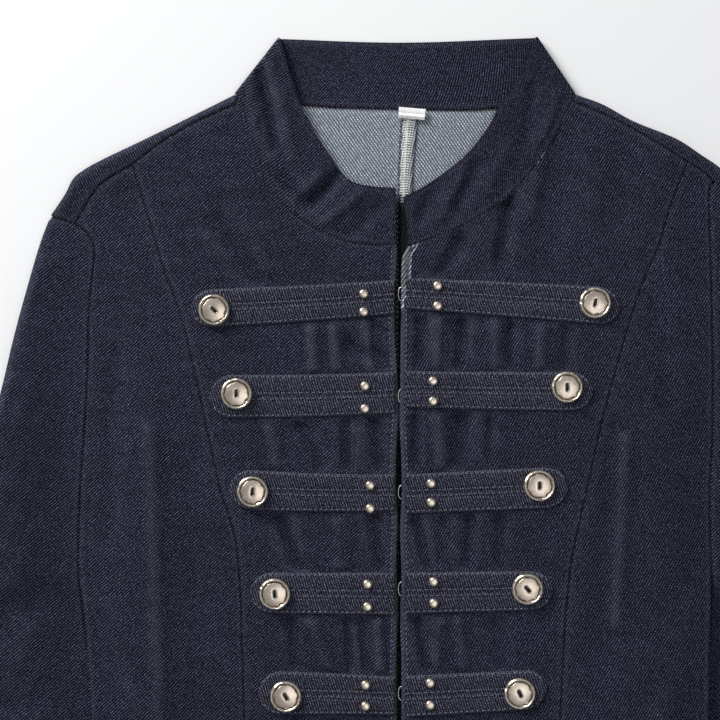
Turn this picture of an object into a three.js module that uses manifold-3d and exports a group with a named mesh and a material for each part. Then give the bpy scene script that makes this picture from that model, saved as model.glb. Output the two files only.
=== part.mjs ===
import * as THREE from "three";
import { mergeVertices } from "three/addons/utils/BufferGeometryUtils.js";
import Module from "manifold-3d";

// A short denim jacket with a stand collar, five pairs of straps across the chest, metal buttons and
// studs, laid flat on its back. Millimetres, +Z up. Left and right are as seen from above.
//
// Places on the jacket are measured as a tailor would: out, the distance from the centre front line
// to either side, and drop, the distance below the top edge of the collar.

// Cloth and clearances
const CLOTH = 1.2; // one layer of denim
const COLLAR_CLOTH = 2.4; // outer and inner collar sewn together
const TRIM_CLOTH = 1.0; // seam allowance and neck label
const GAP = 0.3; // between pieces at a seam, and between layers that touch
const STRAP_GAP = 0.4; // under a strap, which bridges the soft folds

// Heights of the middle of each layer above the table
const BACK_LEVEL = CLOTH / 2;
const ALLOWANCE_LEVEL = CLOTH + GAP + TRIM_CLOTH / 2;
const LABEL_LEVEL = ALLOWANCE_LEVEL + TRIM_CLOTH + GAP;
const FRONT_LEVEL = 4.9;
const EDGE_LEVEL = 1.65; // where a rolled edge ends, just above the back
const TUCKED_LEVEL = CLOTH + GAP + CLOTH / 2; // upper side of the sleeve where it goes under the body
const BACK_RISE = 3.5; // the back rides over the tucked sleeve
const FRONT_RISE = 2.1;

// Overall lengths
const HEM_DROP = 648;
const UNDERARM_DROP = 317;
const SHOULDER_ROLL = 5; // radius of the soft roll along the shoulder
const SHOULDER_INSET = 0.5; // the rolled shoulder strip keeps this clear of its seams
const SLEEVE_ROLL = 8; // radius of the soft roll along the sleeve
const SLEEVE_START = 0.005; // share of the outer fold left clear at the shoulder tip

// Loft of the cloth above its layer
const BODY_LOFT = { top: 2.2, low: 5.2, from: 130, to: 300 };
const SLEEVE_LOFT = { top: 3.4, low: 6.6, cuff: 2.8 };

// Sampling of the panels
const ROLL_STEPS = [0, 0.15, 0.45, 1];
const ARMHOLE_DROPS = [112.2, 116, 122, 132, 155, 190, 230, 273, UNDERARM_DROP];
const SIDE_STEPS = 12;
const SHOULDER_INNER_STEPS = 4;
const SHOULDER_OUTER_STEPS = 7;
const NECK_STEPS = 8;
const SLEEVE_INNER_DROPS = [317, 344.6, 372.2, 392, 412, 432, 452, 475, 505, 540, 590, 640, 694];
const ROLL_COLUMNS = [0, 0.13, 0.5, 1]; // shares of the rolled edge's radius
const UPPER_SLEEVE_COLUMNS = 10;
const UNDER_SLEEVE_COLUMNS = 5;

// Seam lines, each a short table of [out, drop]. The armhole runs from the shoulder tip to the underarm.
const LEFT = {
  name: "left",
  sign: -1,
  fold: [[98.4, 34.2], [130.8, 50.4], [155.4, 62.4], [180.6, 74.4], [190.2, 79.8], [196.2, 84.6],
    [201, 93.6], [210, 107]],
  shoulderInner: [[97.4, 40.2], [120.6, 50.4], [140.4, 61.8], [160.2, 76.8]],
  shoulderOuter: [[160.2, 76.8], [176.4, 86.4], [184.2, 94.2], [190.2, 104.4], [195, 112.2]],
  armholeTop: [[210, 107], [205, 109], [195, 112.2]],
  armhole: [[195, 112.2], [190.2, 115.2], [186, 120], [183, 127], [184, 140], [186, 160],
    [188, 218], [192, 278], [193, 317]],
  side: [[193, 317], [189, 350], [185, 410], [184, 452], [190, 520], [204, 648]],
  princess: [[160.2, 76.8], [150, 109.8], [141, 139.8], [132, 163.8], [123, 199.8], [114, 241.8],
    [108, 268.8], [99, 298.8], [96, 322.8], [94.8, 352.8], [93, 409.8], [92, 452], [110, 648]],
  edge: [[2.4, 124.8], [2.4, 648]],
  neckTop: [[98.4, 34.2], [97.4, 40.2]],
  neck: [[97.4, 40.2], [93.4, 58], [86.4, 79.2], [73.8, 97.2], [59.4, 109.8], [45.6, 118.2],
    [31.2, 123], [16.8, 124.8], [2.4, 124.8]],
  collarTop: [[72, 0.6], [68, 15], [60, 39.6], [54, 52.2], [42.6, 70.8], [35.4, 81], [28.2, 87],
    [16.8, 89.6], [2.4, 90.6]],
  sleeveOuter: [[210, 107], [215.4, 121.2], [223.2, 148.2], [232.2, 181.8], [240, 214.8],
    [268, 312], [368, 660]],
  sleeveInner: [[193.4, 317], [189.8, 350], [186, 375], [172, 405], [166, 440], [194, 540],
    [242, 694]],
};
const RIGHT = {
  name: "right",
  sign: 1,
  fold: [[104.4, 34.2], [121.2, 40.2], [139.8, 50.4], [167.4, 61.8], [181.2, 70.8], [192, 78],
    [201, 87], [210, 103]],
  shoulderInner: [[103.4, 38.8], [110.4, 41.4], [130.8, 50.4], [158.4, 66], [172.6, 75]],
  shoulderOuter: [[172.6, 75], [181.2, 79.8], [188, 86]],
  armholeTop: [[210, 103], [200, 95.5], [188, 86]],
  armhole: [[188, 86], [185.8, 92], [186, 110], [186.6, 128], [187.8, 188], [187.8, 236], [186, 278],
    [187, 317]],
  side: [[187, 317], [186, 350], [185, 410], [185, 452], [190, 520], [204, 648]],
  princess: [[172.6, 75], [168, 86.4], [160.8, 105.6], [155.4, 124.8], [148.8, 139.8],
    [139.8, 163.8], [127.8, 204.6], [120.6, 232.2], [111.6, 272.4], [106.2, 296.4], [102.6, 314.4],
    [99.6, 342], [97.8, 369.6], [96, 409.8], [95, 452], [112, 648]],
  edge: [[6, 126], [4.4, 160], [3, 200], [3, 648]],
  neckTop: [[104.4, 34.2], [103.4, 38.8]],
  neck: [[103.4, 38.8], [93.6, 58.2], [82.2, 77.4], [67.8, 93.6], [54, 103.8], [39.6, 112.8],
    [25.2, 118.8], [6, 126]],
  collarTop: [[81.6, 0], [73, 20], [58.8, 42.6], [52.2, 55.2], [39.6, 70.8], [29.4, 79.2],
    [18.6, 87], [7.2, 93.6], [1.8, 96]],
  sleeveOuter: [[210, 103], [215.4, 117], [223.2, 144], [232.2, 178], [240, 212], [268, 310],
    [368, 660]],
  sleeveInner: [[187.4, 317], [186.6, 350], [185, 375], [172, 405], [166, 440], [194, 540],
    [242, 694]],
};

// Lines across the middle, [across, drop] with right positive
const BACK_NECK = [[-98.4, 34.2], [-60, 40.5], [0, 43], [60, 42.5], [104.4, 34.2]];
const COLLAR_BACK_TOP = [[-72, 0.6], [0, 2.8], [81.6, 0]];
const BACK_SEAM = [[1.8, 43], [-0.5, 90], [-0.5, 648]];
const ALLOWANCE_EDGE = [[11, 44], [7.4, 92], [7.4, 644]];
const LABEL = { left: -1.2, right: 15.6, top: 44.2, bottom: 50.4 };

// Largest folds: from and to as out and drop, then half width and height, a trough where negative.
const FOLD_COLUMNS = ["fromOut", "fromDrop", "toOut", "toDrop", "width", "height"];
const BODY_FOLDS = {
  left: [
    [78, 92, 50, 136, 9, -1.2],
    [160, 92, 148, 150, 9, -1],
    [62, 190, 58, 300, 16, 0.5],
    [128, 250, 122, 420, 10, -1.2],
    [70, 430, 84, 640, 13, 1.3],
    [34, 425, 40, 600, 10, -0.9],
    [146, 470, 160, 640, 12, 1.2],
    [118, 480, 126, 600, 10, -1],
  ],
  right: [
    [96, 60, 86, 134, 9, -1.1],
    [66, 100, 58, 138, 8, -0.9],
    [130, 70, 124, 110, 9, -1],
    [128, 236, 118, 374, 10, -1.6],
    [60, 180, 56, 400, 14, 0.7],
    [64, 430, 76, 640, 13, 1.2],
    [30, 420, 36, 620, 10, -0.9],
    [150, 460, 164, 640, 12, 1.2],
    [122, 500, 132, 620, 10, -1],
  ],
};
const SLEEVE_FOLDS = {
  left: [
    [222, 180, 246, 300, 12, 1.2],
    [210, 330, 262, 372, 11, -1.8],
    [206, 392, 272, 412, 11, -1.6],
    [226, 436, 288, 452, 11, -1.2],
    [262, 470, 306, 640, 14, 1.2],
  ],
  right: [
    [220, 170, 244, 290, 12, 1.2],
    [208, 322, 258, 360, 11, -1.7],
    [208, 384, 276, 400, 11, -1.7],
    [232, 430, 290, 462, 11, -1.1],
    [266, 480, 308, 640, 14, 1.1],
  ],
};

// Straps: drops of the middle line at the front edge, halfway and at the button end; width at the
// front edge and at the button end; out of the tip; then its button and its two studs.
const STRAP_COLUMNS = ["inner", "middle", "outer", "innerWidth", "outerWidth", "tip",
  "buttonOut", "buttonDrop", "buttonTurn", "studOut", "studTop", "studLow"];
const STRAPS = {
  left: [
    [156, 160.8, 163.2, 20.4, 22.8, 125.4, 111.3, 163.8, -45, 21.7, 154.2, 165],
    [213.3, 216, 215.4, 24.6, 25.8, 114, 97.8, 213.9, 90, 21, 209.4, 222.9],
    [273, 274.2, 270.6, 21.6, 24, 102, 88.2, 272.4, 85, 17.9, 268.8, 282.6],
    [333.6, 333.6, 333, 25.2, 24, 90, 75, 333.6, 95, 19.5, 327.9, 341.4],
    [394.8, 393, 393, 22.8, 26.4, 84.6, 68.4, 394.8, -60, 20.7, 388.2, 400.8],
  ],
  right: [
    [153.9, 157.2, 162, 18.6, 22.8, 131.4, 116.4, 159.6, 75, 22.5, 149.4, 161.4],
    [211.2, 212.7, 212.4, 21.6, 23.4, 115.2, 99.6, 210, 90, 19.8, 206.4, 218.4],
    [273.9, 271.8, 269.7, 23.4, 24.6, 100.2, 83.1, 268.8, 90, 18.6, 267.6, 279],
    [333.3, 332.4, 331.5, 24.6, 23.4, 91.2, 76, 330.6, -48, 20.1, 326.4, 339.3],
    [395.1, 393, 390.3, 24.6, 23.4, 87.6, 71.4, 393, -65, 18, 387, 400.2],
  ],
};
const STRAP_START = 4.8; // out of the sewn end
const STRAP_STATIONS = [[0, 1], [0.2, 1], [0.4, 1], [0.6, 1], [0.8, 1], [0.9, 0.96], [0.965, 0.76],
  [1, 0.34]]; // [share of the length, share of the width]
const BUTTON = { radius: 9.5, hole: 0.9, pitch: 3.2 };
const BUTTON_PROFILE = [[0, 0], [8.4, 0], [9.5, 0.8], [9.3, 2.1], [8.4, 2.5], [7.4, 1.7], [4.6, 2.2],
  [0, 2.4]]; // [radius, height]
const STUD_PROFILE = [[0, 0], [3, 0], [2.8, 0.7], [1.8, 1.4], [0, 1.7]];
const HOOK = { wire: 0.9, reach: 2.6, height: 8, drops: [154.2, 215.4, 273, 331, 393.6] };

// Colours as [red, green, blue], with roughness and metalness
const FINISHES = {
  denim: [[0.021, 0.023, 0.05], 0.9, 0],
  strap: [[0.028, 0.03, 0.062], 0.9, 0],
  reverse: [[0.24, 0.3, 0.36], 0.9, 0],
  label: [[0.8, 0.8, 0.8], 0.7, 0],
  pewter: [[0.45, 0.42, 0.38], 0.35, 1],
  wire: [[0.5, 0.5, 0.5], 0.3, 1],
};

const jacket = new THREE.Group();
const { Manifold, Mesh: SolidMesh } = await loadSolids();

async function loadSolids() {
  const wasm = await Module();
  wasm.setup();
  return wasm;
}

function add(name, geometry, finish) {
  const [rgb, roughness, metalness] = FINISHES[finish];
  const material = new THREE.MeshStandardMaterial({ roughness, metalness });
  material.color.setRGB(...rgb);
  const mesh = new THREE.Mesh(geometry, material);
  mesh.name = name;
  jacket.add(mesh);
  return mesh;
}

const mix = THREE.MathUtils.lerp;
const named = (columns, values) => Object.fromEntries(columns.map((column, i) => [column, values[i]]));
const step = (value, from, to) => THREE.MathUtils.smoothstep(value, from, to);

// Points at even shares of a smooth line through a table, or at the given shares of its length.
function line(table, steps) {
  const shares = typeof steps === "number"
    ? Array.from({ length: steps + 1 }, (_, k) => k / steps)
    : steps;
  const points = table.map(([a, b]) => new THREE.Vector3(a, b, 0));
  const curve = new THREE.CatmullRomCurve3(points, false, "centripetal");
  return shares.map((share) => {
    const p = curve.getPointAt(share);
    return [p.x, p.y];
  });
}

// The out value of a table at a drop, eased between its rows.
function outAt(table, drop) {
  const last = table.length - 1;
  let k = table.findIndex((row) => row[1] > drop) - 1;
  if (k === -2) k = last - 1;
  if (k < 0) k = 0;
  const slope = (i) => {
    const a = table[Math.max(i - 1, 0)];
    const b = table[Math.min(i + 1, last)];
    return (b[0] - a[0]) / (b[1] - a[1]);
  };
  const [x0, d0] = table[k];
  const [x1, d1] = table[k + 1];
  const span = d1 - d0;
  const t = (drop - d0) / span;
  if (t < 0) return x0 + slope(0) * (drop - d0);
  if (t > 1) return x1 + slope(last) * (drop - d1);
  const t2 = t * t;
  const t3 = t2 * t;
  return (2 * t3 - 3 * t2 + 1) * x0 + (t3 - 2 * t2 + t) * span * slope(k)
    + (3 * t2 - 2 * t3) * x1 + (t3 - t2) * span * slope(k + 1);
}

const atDrops = (table, drops) => drops.map((drop) => [outAt(table, drop), drop]);
const join = (...lines) => lines.reduce((a, b) => a.concat(b.slice(1)));
const reversed = (points) => [...points].reverse();

// Share of a line's length reached at each of its points.
function shares(points) {
  const sums = [0];
  for (let i = 1; i < points.length; i += 1)
    sums.push(sums[i - 1] + Math.hypot(points[i][0] - points[i - 1][0],
      points[i][1] - points[i - 1][1]));
  return sums.map((sum) => sum / sums[points.length - 1]);
}

// Distance from a place to a table's line of points.
function distance(points, out, drop) {
  let best = Infinity;
  for (let i = 1; i < points.length; i += 1) {
    const [ax, ay] = points[i - 1];
    const [bx, by] = points[i];
    const [dx, dy] = [bx - ax, by - ay];
    const t = THREE.MathUtils.clamp(
      ((out - ax) * dx + (drop - ay) * dy) / (dx * dx + dy * dy), 0, 1);
    best = Math.min(best, Math.hypot(out - ax - t * dx, drop - ay - t * dy));
  }
  return best;
}

// Share of the full height at a distance inside a rolled edge of the given radius.
function roll(inside, radius) {
  const t = THREE.MathUtils.clamp(1 - inside / radius, 0, 1);
  return Math.sqrt(1 - t * t);
}

// Sum of the soft folds at a place, each fading away from its own line.
function folds(rows, out, drop) {
  return rows.reduce((sum, values) => {
    const row = named(FOLD_COLUMNS, values);
    const away = distance([[row.fromOut, row.fromDrop], [row.toOut, row.toDrop]], out, drop);
    return sum + row.height * Math.exp(-((away / row.width) ** 2));
  }, 0);
}

// How far the body lies over the tucked sleeve: 1 over the sleeve, 0 clear of it.
function tuck(side, out, drop) {
  const inner = outAt(side.sleeveInner, drop);
  const reach = step(out, inner - 34, inner - 15);
  return step(drop, UNDERARM_DROP, UNDERARM_DROP + 27) * (1 - step(drop, 560, 600)) * reach;
}

// Height of the middle of the body's upper cloth: lofted beside the armhole, soft towards the middle.
function bodyTop(side, out, drop) {
  const inside = drop > UNDERARM_DROP
    ? outAt(side.side, drop) - out
    : distance(side.armhole, out, drop);
  const loft = mix(BODY_LOFT.top, BODY_LOFT.low, step(drop, BODY_LOFT.from, BODY_LOFT.to))
    * (1 - 0.6 * step(drop, 560, HEM_DROP));
  const level = FRONT_LEVEL + loft * step(inside, 0, 38) * (1 - 0.72 * step(inside, 42, 125))
    + FRONT_RISE * tuck(side, out, drop)
    + folds(BODY_FOLDS[side.name], out, drop) * step(inside, 0, 20);
  const edge = distance(side.fold, out, drop);
  return mix(EDGE_LEVEL, level, roll(edge, SHOULDER_ROLL));
}

// Height of the middle of the sleeve's upper cloth: up from the armhole, rolled down outside.
function sleeveTop(side, out, drop) {
  const below = drop > UNDERARM_DROP;
  const away = below ? out - outAt(side.side, Math.min(drop, HEM_DROP))
    : distance(join(side.armholeTop, side.armhole), out, drop);
  const inner = distance(side.sleeveInner, out, drop);
  const rise = step(away, 8, 40);
  const innerRise = drop > 520 ? mix(rise, step(inner, 0, 30), step(drop, 520, 560)) : rise;
  const base = mix(FRONT_LEVEL, TUCKED_LEVEL, step(drop, UNDERARM_DROP, UNDERARM_DROP + 27));
  const loft = mix(mix(SLEEVE_LOFT.top, SLEEVE_LOFT.low, step(drop, 110, 330)), SLEEVE_LOFT.cuff,
    step(drop, 500, 690));
  const level = base + (loft + folds(SLEEVE_FOLDS[side.name], out, drop)) * innerRise;
  return mix(EDGE_LEVEL, level, roll(distance(side.sleeveOuter, out, drop), SLEEVE_ROLL));
}

const backMiddle = (side) => (out, drop) => BACK_LEVEL + BACK_RISE * tuck(side, out, drop);

// Outline of a panel moved in by half the seam gap, corner by corner.
function inset(loop, amount) {
  const count = loop.length;
  let area = 0;
  loop.forEach(([x, y], i) => {
    const [nx, ny] = loop[(i + 1) % count];
    area += x * ny - nx * y;
  });
  const turn = Math.sign(area);
  const normal = (a, b) => {
    const length = Math.hypot(b[0] - a[0], b[1] - a[1]);
    return [-turn * (b[1] - a[1]) / length, turn * (b[0] - a[0]) / length];
  };
  return loop.map((point, i) => {
    const n0 = normal(loop[(i + count - 1) % count], point);
    const n1 = normal(point, loop[(i + 1) % count]);
    const share = Math.max(1 + n0[0] * n1[0] + n0[1] * n1[1], 0.35);
    return [point[0] + amount * (n0[0] + n1[0]) / share, point[1] + amount * (n0[1] + n1[1]) / share];
  });
}

// Four sides of points make a panel's grid in plan: each side is blended towards the opposite one.
function patch({ top, bottom, left, right }, amount = GAP / 2) {
  const columns = top.length - 1;
  const rows = left.length - 1;
  const loop = inset(join(top, right, reversed(bottom), reversed(left)).slice(0, -1), amount);
  const t = loop.slice(0, columns + 1);
  const r = loop.slice(columns, columns + rows + 1);
  const b = reversed(loop.slice(columns + rows, 2 * columns + rows + 1));
  const l = reversed([...loop.slice(2 * columns + rows), loop[0]]);
  const between = (one, other) => {
    const across = shares(other);
    return shares(one).map((value, i) => (value + across[i]) / 2);
  };
  const u = between(t, b);
  const v = between(l, r);
  const corner = (i, k) => (1 - u[i]) * l[0][k] + u[i] * r[0][k];
  return l.map((_, j) => t.map((_point, i) => [0, 1].map((k) => {
    const across = (1 - u[i]) * l[j][k] + u[i] * r[j][k];
    const down = (1 - v[j]) * t[i][k] + v[j] * b[i][k];
    const low = (1 - u[i]) * l[rows][k] + u[i] * r[rows][k];
    return across + down - (1 - v[j]) * corner(i, k) - v[j] * low;
  })));
}

// A closed wall from a grid of outer points and a grid of inner points.
function wall(outer, inner) {
  const rows = outer.length;
  const columns = outer[0].length;
  const positions = [...outer.flat(), ...inner.flat()].flatMap((p) => [p.x, p.y, p.z]);
  const index = [];
  const at = (layer, j, i) => layer * rows * columns + j * columns + i;
  const quad = (a, b, c, d) => index.push(a, b, c, a, c, d);
  for (let j = 0; j + 1 < rows; j += 1) {
    for (let i = 0; i + 1 < columns; i += 1) {
      quad(at(0, j, i), at(0, j, i + 1), at(0, j + 1, i + 1), at(0, j + 1, i));
      quad(at(1, j, i), at(1, j + 1, i), at(1, j + 1, i + 1), at(1, j, i + 1));
    }
  }
  for (let i = 0; i + 1 < columns; i += 1) {
    quad(at(0, 0, i), at(1, 0, i), at(1, 0, i + 1), at(0, 0, i + 1));
    quad(at(0, rows - 1, i + 1), at(1, rows - 1, i + 1), at(1, rows - 1, i), at(0, rows - 1, i));
  }
  for (let j = 0; j + 1 < rows; j += 1) {
    quad(at(0, j + 1, 0), at(1, j + 1, 0), at(1, j, 0), at(0, j, 0));
    quad(at(0, j, columns - 1), at(1, j, columns - 1), at(1, j + 1, columns - 1),
      at(0, j + 1, columns - 1));
  }
  const geometry = new THREE.BufferGeometry();
  geometry.setAttribute("position", new THREE.Float32BufferAttribute(positions, 3));
  geometry.setIndex(index);
  if (volume(geometry) < 0) turnOver(geometry);
  return geometry;
}

function volume(geometry) {
  const p = geometry.getAttribute("position");
  const [a, b, c] = [new THREE.Vector3(), new THREE.Vector3(), new THREE.Vector3()];
  let sum = 0;
  for (let i = 0; i < geometry.index.count; i += 3) {
    [a, b, c].forEach((corner, k) => corner.fromBufferAttribute(p, geometry.index.getX(i + k)));
    sum += a.dot(b.cross(c)) / 6;
  }
  return sum;
}

function turnOver(geometry) {
  const index = geometry.index.array;
  for (let i = 0; i < index.length; i += 3) [index[i + 1], index[i + 2]] = [index[i + 2], index[i + 1]];
}

// A piece of cloth over a plan grid: the middle follows the height, the wall lies either side of it.
function cloth(side, grid, height, thickness) {
  const reach = 0.2;
  const sides = grid.map((row) => row.map(([out, drop]) => {
    const slopeOut = (height(out + reach, drop) - height(out - reach, drop)) / (2 * reach);
    const slopeDrop = (height(out, drop + reach) - height(out, drop - reach)) / (2 * reach);
    const middle = new THREE.Vector3(side.sign * out, -drop, height(out, drop));
    const normal = new THREE.Vector3(-side.sign * slopeOut, slopeDrop, 1).normalize();
    return [0.5, -0.5].map((share) => middle.clone().addScaledVector(normal, share * thickness));
  }));
  return wall(sides.map((row) => row.map((pair) => pair[0])),
    sides.map((row) => row.map((pair) => pair[1])));
}

function panels(sideName, side) {
  const low = (drop, top, oldTop) => top + (drop - oldTop) * (HEM_DROP - top) / (HEM_DROP - oldTop);
  const armTop = line(side.armholeTop, ROLL_STEPS);
  const armStart = side.armhole[0][1];
  const armDrops = ARMHOLE_DROPS.map((drop) =>
    mix(armStart, UNDERARM_DROP, (drop - ARMHOLE_DROPS[0]) / (UNDERARM_DROP - ARMHOLE_DROPS[0])));
  const arm = atDrops(side.armhole, armDrops);
  const sideDrops = Array.from({ length: SIDE_STEPS + 1 }, (_, k) =>
    mix(UNDERARM_DROP, HEM_DROP, k / SIDE_STEPS));
  const sideLine = atDrops(side.side, sideDrops);
  const outerSide = join(arm, sideLine);
  const princess = atDrops(side.princess, outerSide.map(([, drop]) =>
    low(drop, side.princess[0][1], armStart)));
  const edge = atDrops(side.edge, outerSide.map(([, drop]) => low(drop, side.edge[0][1], armStart)));
  const shoulderInner = line(side.shoulderInner, SHOULDER_INNER_STEPS);
  const shoulderOuter = line(side.shoulderOuter, SHOULDER_OUTER_STEPS);
  const neck = line(side.neck, NECK_STEPS);
  const hem = (from, to, shares) => shares.map((share) => [mix(from[0], to[0], share), HEM_DROP]);
  const even = (count) => Array.from({ length: count + 1 }, (_, k) => k / count);
  const last = (points) => points[points.length - 1];

  // The side front runs from the armhole to the long curved seam, the centre front on to the edge.
  const top = (out, drop) => bodyTop(side, out, drop);
  add(`front_side_${sideName}`, cloth(side, patch({
    top: reversed(shoulderOuter),
    bottom: hem(last(outerSide), last(princess), even(SHOULDER_OUTER_STEPS)),
    left: outerSide,
    right: princess,
  }), top, CLOTH), "denim");
  const centreSteps = SHOULDER_INNER_STEPS + NECK_STEPS;
  add(`front_centre_${sideName}`, cloth(side, patch({
    top: join(reversed(shoulderInner), neck),
    bottom: hem(last(princess), last(edge), even(centreSteps)),
    left: princess,
    right: edge,
  }), top, CLOTH), "denim");

  // Where the back comes forward over the shoulder, from the fold down to the shoulder seam.
  const yokeSteps = SHOULDER_INNER_STEPS + SHOULDER_OUTER_STEPS;
  add(`shoulder_${sideName}`, cloth(side, patch({
    top: line(reversed(side.fold), yokeSteps),
    bottom: join(reversed(shoulderOuter), reversed(shoulderInner)),
    left: armTop,
    right: line(side.neckTop, ROLL_STEPS),
  }, SHOULDER_INSET), top, CLOTH), "denim");

  // The back lies on the table from the shoulder fold to the hem.
  const foldSteps = 5;
  const neckBackSteps = 4;
  const backTop = join(line(reversed(side.fold), foldSteps),
    line(halfNeck(side), neckBackSteps));
  const backRows = join(armTop, outerSide);
  const seamTop = last(backTop)[1];
  const seam = backRows.map(([, drop], j) => {
    const share = (j < 3 ? j * 0.012 : (drop - backRows[3][1]) / (HEM_DROP - backRows[3][1]));
    return Math.max(share, j * 0.012);
  }).map((share) => {
    const drop = mix(seamTop, HEM_DROP, share);
    return [side.sign * outAt(BACK_SEAM, drop), drop];
  });
  const hemShares = [0, 0.06, 0.12, 0.19, 0.28, 0.4, 0.55, 0.7, 0.85, 1];
  add(`back_${sideName}`, cloth(side, patch({
    top: backTop,
    bottom: hem(last(outerSide), last(seam), hemShares),
    left: backRows,
    right: seam,
  }), backMiddle(side), CLOTH), "reverse");

  // The sleeve: an upper and an under piece, sewn into the armhole and tucked under the body below it.
  const inner = join(armTop.slice(1), arm, atDrops(side.sleeveInner, SLEEVE_INNER_DROPS));
  const outer = line(side.sleeveOuter, shares(inner).map((share) => mix(SLEEVE_START, 1, share)));
  const upperGrid = sleeveGrid(outer, inner, UPPER_SLEEVE_COLUMNS);
  add(`sleeve_upper_${sideName}`, cloth(side, upperGrid, (out, drop) => sleeveTop(side, out, drop),
    CLOTH), "denim");
  const underGrid = sleeveGrid(outer, inner, UNDER_SLEEVE_COLUMNS);
  add(`sleeve_under_${sideName}`, cloth(side, underGrid, () => BACK_LEVEL, CLOTH), "denim");
}

// Rows across a sleeve from its outer fold to the armhole and inner fold, closer at the rolled edge.
function sleeveGrid(outer, inner, columns) {
  const outerLine = inset([...outer, ...reversed(inner)], GAP / 2);
  const rows = outer.length;
  return outer.map((_, j) => {
    const from = outerLine[j];
    const to = outerLine[2 * rows - 1 - j];
    const width = Math.hypot(to[0] - from[0], to[1] - from[1]);
    const rolled = Math.min(SLEEVE_ROLL / width, 0.5);
    return Array.from({ length: columns + 1 }, (_point, k) => {
      const share = k < ROLL_COLUMNS.length ? rolled * ROLL_COLUMNS[k]
        : mix(rolled, 1, (k - ROLL_COLUMNS.length + 1) / (columns - ROLL_COLUMNS.length + 1));
      return [mix(from[0], to[0], share), mix(from[1], to[1], share)];
    });
  });
}

// Half of the back neckline as [out, drop], from the shoulder to the centre back seam.
function halfNeck(side) {
  const half = BACK_NECK.filter(([across]) => across * side.sign > 0)
    .map(([across, drop]) => [across * side.sign, drop + GAP])
    .sort((a, b) => b[0] - a[0]);
  return [...half, [side.sign * BACK_SEAM[0][0], BACK_SEAM[0][1]]];
}

// The collar is one flattened band: the back lies on the table, both fronts fold over on top.
function collar() {
  const radius = (FRONT_LEVEL - COLLAR_CLOTH / 2) / 2;
  const middle = COLLAR_CLOTH / 2 + radius;
  const bends = [0, 30, 60, 90].map((angle) => radius * (1 - Math.cos(THREE.MathUtils.degToRad(angle))));
  const across = 4;
  const station = (lower, upper, z) => ({ lower, upper, z });
  const stations = [];
  const length = (table) => table.slice(1).reduce((sum, p, i) =>
    sum + Math.hypot(p[0] - table[i][0], p[1] - table[i][1]), 0);
  const front = (side) => {
    const size = length(side.neckTop);
    const lower = [...line(side.neckTop, bends.map((b) => b / size)), ...line(side.neck, NECK_STEPS)];
    const upper = line(side.collarTop, shares(lower));
    return lower.map((point, i) => {
      const bend = i < bends.length ? Math.sin(THREE.MathUtils.degToRad(30 * i)) : 1;
      return station([side.sign * point[0], point[1]], [side.sign * upper[i][0], upper[i][1]],
        middle + radius * bend);
    });
  };
  const width = length(BACK_NECK);
  const nearEnd = bends.map((b) => b / width);
  const backShares = [...nearEnd, 0.1, 0.22, 0.36, 0.5, 0.64, 0.78, 0.9,
    ...nearEnd.map((share) => 1 - share).reverse()];
  const backLower = line(BACK_NECK, backShares);
  const backUpper = line(COLLAR_BACK_TOP, backShares);
  const back = backShares.map((share, i) => {
    const end = Math.min(i, backShares.length - 1 - i);
    const bend = end < bends.length ? Math.sin(THREE.MathUtils.degToRad(30 * end)) : 1;
    return station(backLower[i], backUpper[i], middle - radius * bend);
  });
  stations.push(...front(LEFT).reverse(), ...back.slice(1, -1), ...front(RIGHT));
  const seamGap = GAP / 2;
  const grid = stations.map(({ lower, upper, z }) => {
    const span = Math.hypot(upper[0] - lower[0], upper[1] - lower[1]);
    return Array.from({ length: across + 1 }, (_, k) => {
      const t = mix(seamGap / span, 1, k / across);
      return new THREE.Vector3(mix(lower[0], upper[0], t), -mix(lower[1], upper[1], t), z);
    });
  });
  const normals = grid.map((row, j) => row.map((_, i) => {
    const next = grid[Math.min(j + 1, grid.length - 1)][i];
    const before = grid[Math.max(j - 1, 0)][i];
    const along = next.clone().sub(before);
    const over = row[Math.min(i + 1, across)].clone().sub(row[Math.max(i - 1, 0)]);
    return along.cross(over).normalize();
  }));
  const offset = (share) => grid.map((row, j) => row.map((p, i) =>
    p.clone().addScaledVector(normals[j][i], share * COLLAR_CLOTH)));
  add("collar", wall(offset(0.5), offset(-0.5)), "denim");
}

// What hangs inside the neck: the centre back seam allowance and the label over it.
function insideBack() {
  const drops = [45, 60, 75, 92, 140, 260, 400, 520, 643];
  const level = { sign: 1 };
  const grid = drops.map((drop) => {
    const from = outAt(BACK_SEAM, drop) + GAP;
    const to = outAt(ALLOWANCE_EDGE, drop);
    return [from, (from + to) / 2, to].map((across) => [across, drop]);
  });
  add("back_seam_allowance", cloth(level, grid, () => ALLOWANCE_LEVEL, TRIM_CLOTH), "reverse");
  const { left, right, top, bottom } = LABEL;
  const labelGrid = [0, 0.5, 1].map((v) => [0, 0.25, 0.5, 0.75, 1].map((u) =>
    [mix(left, right, u), mix(top, bottom, v)]));
  add("neck_label", cloth(level, labelGrid, () => LABEL_LEVEL, TRIM_CLOTH), "label");
}

// Height of the top of a strap above the table.
const strapTop = (side, out, drop) => bodyTop(side, out, drop) + CLOTH / 2 + STRAP_GAP + CLOTH;

function strap(side, row) {
  const bend = (share) => mix(mix(row.inner, row.middle, share), mix(row.middle, row.outer, share), share);
  const grid = STRAP_STATIONS.map(([share, narrow]) => {
    const out = mix(STRAP_START, row.tip, share);
    const half = mix(row.innerWidth, row.outerWidth, share) * narrow / 2;
    return [-half, 0, half].map((away) => [out, bend(share) + away]);
  });
  return cloth(side, grid, (out, drop) => strapTop(side, out, drop) - CLOTH / 2, CLOTH);
}

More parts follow.
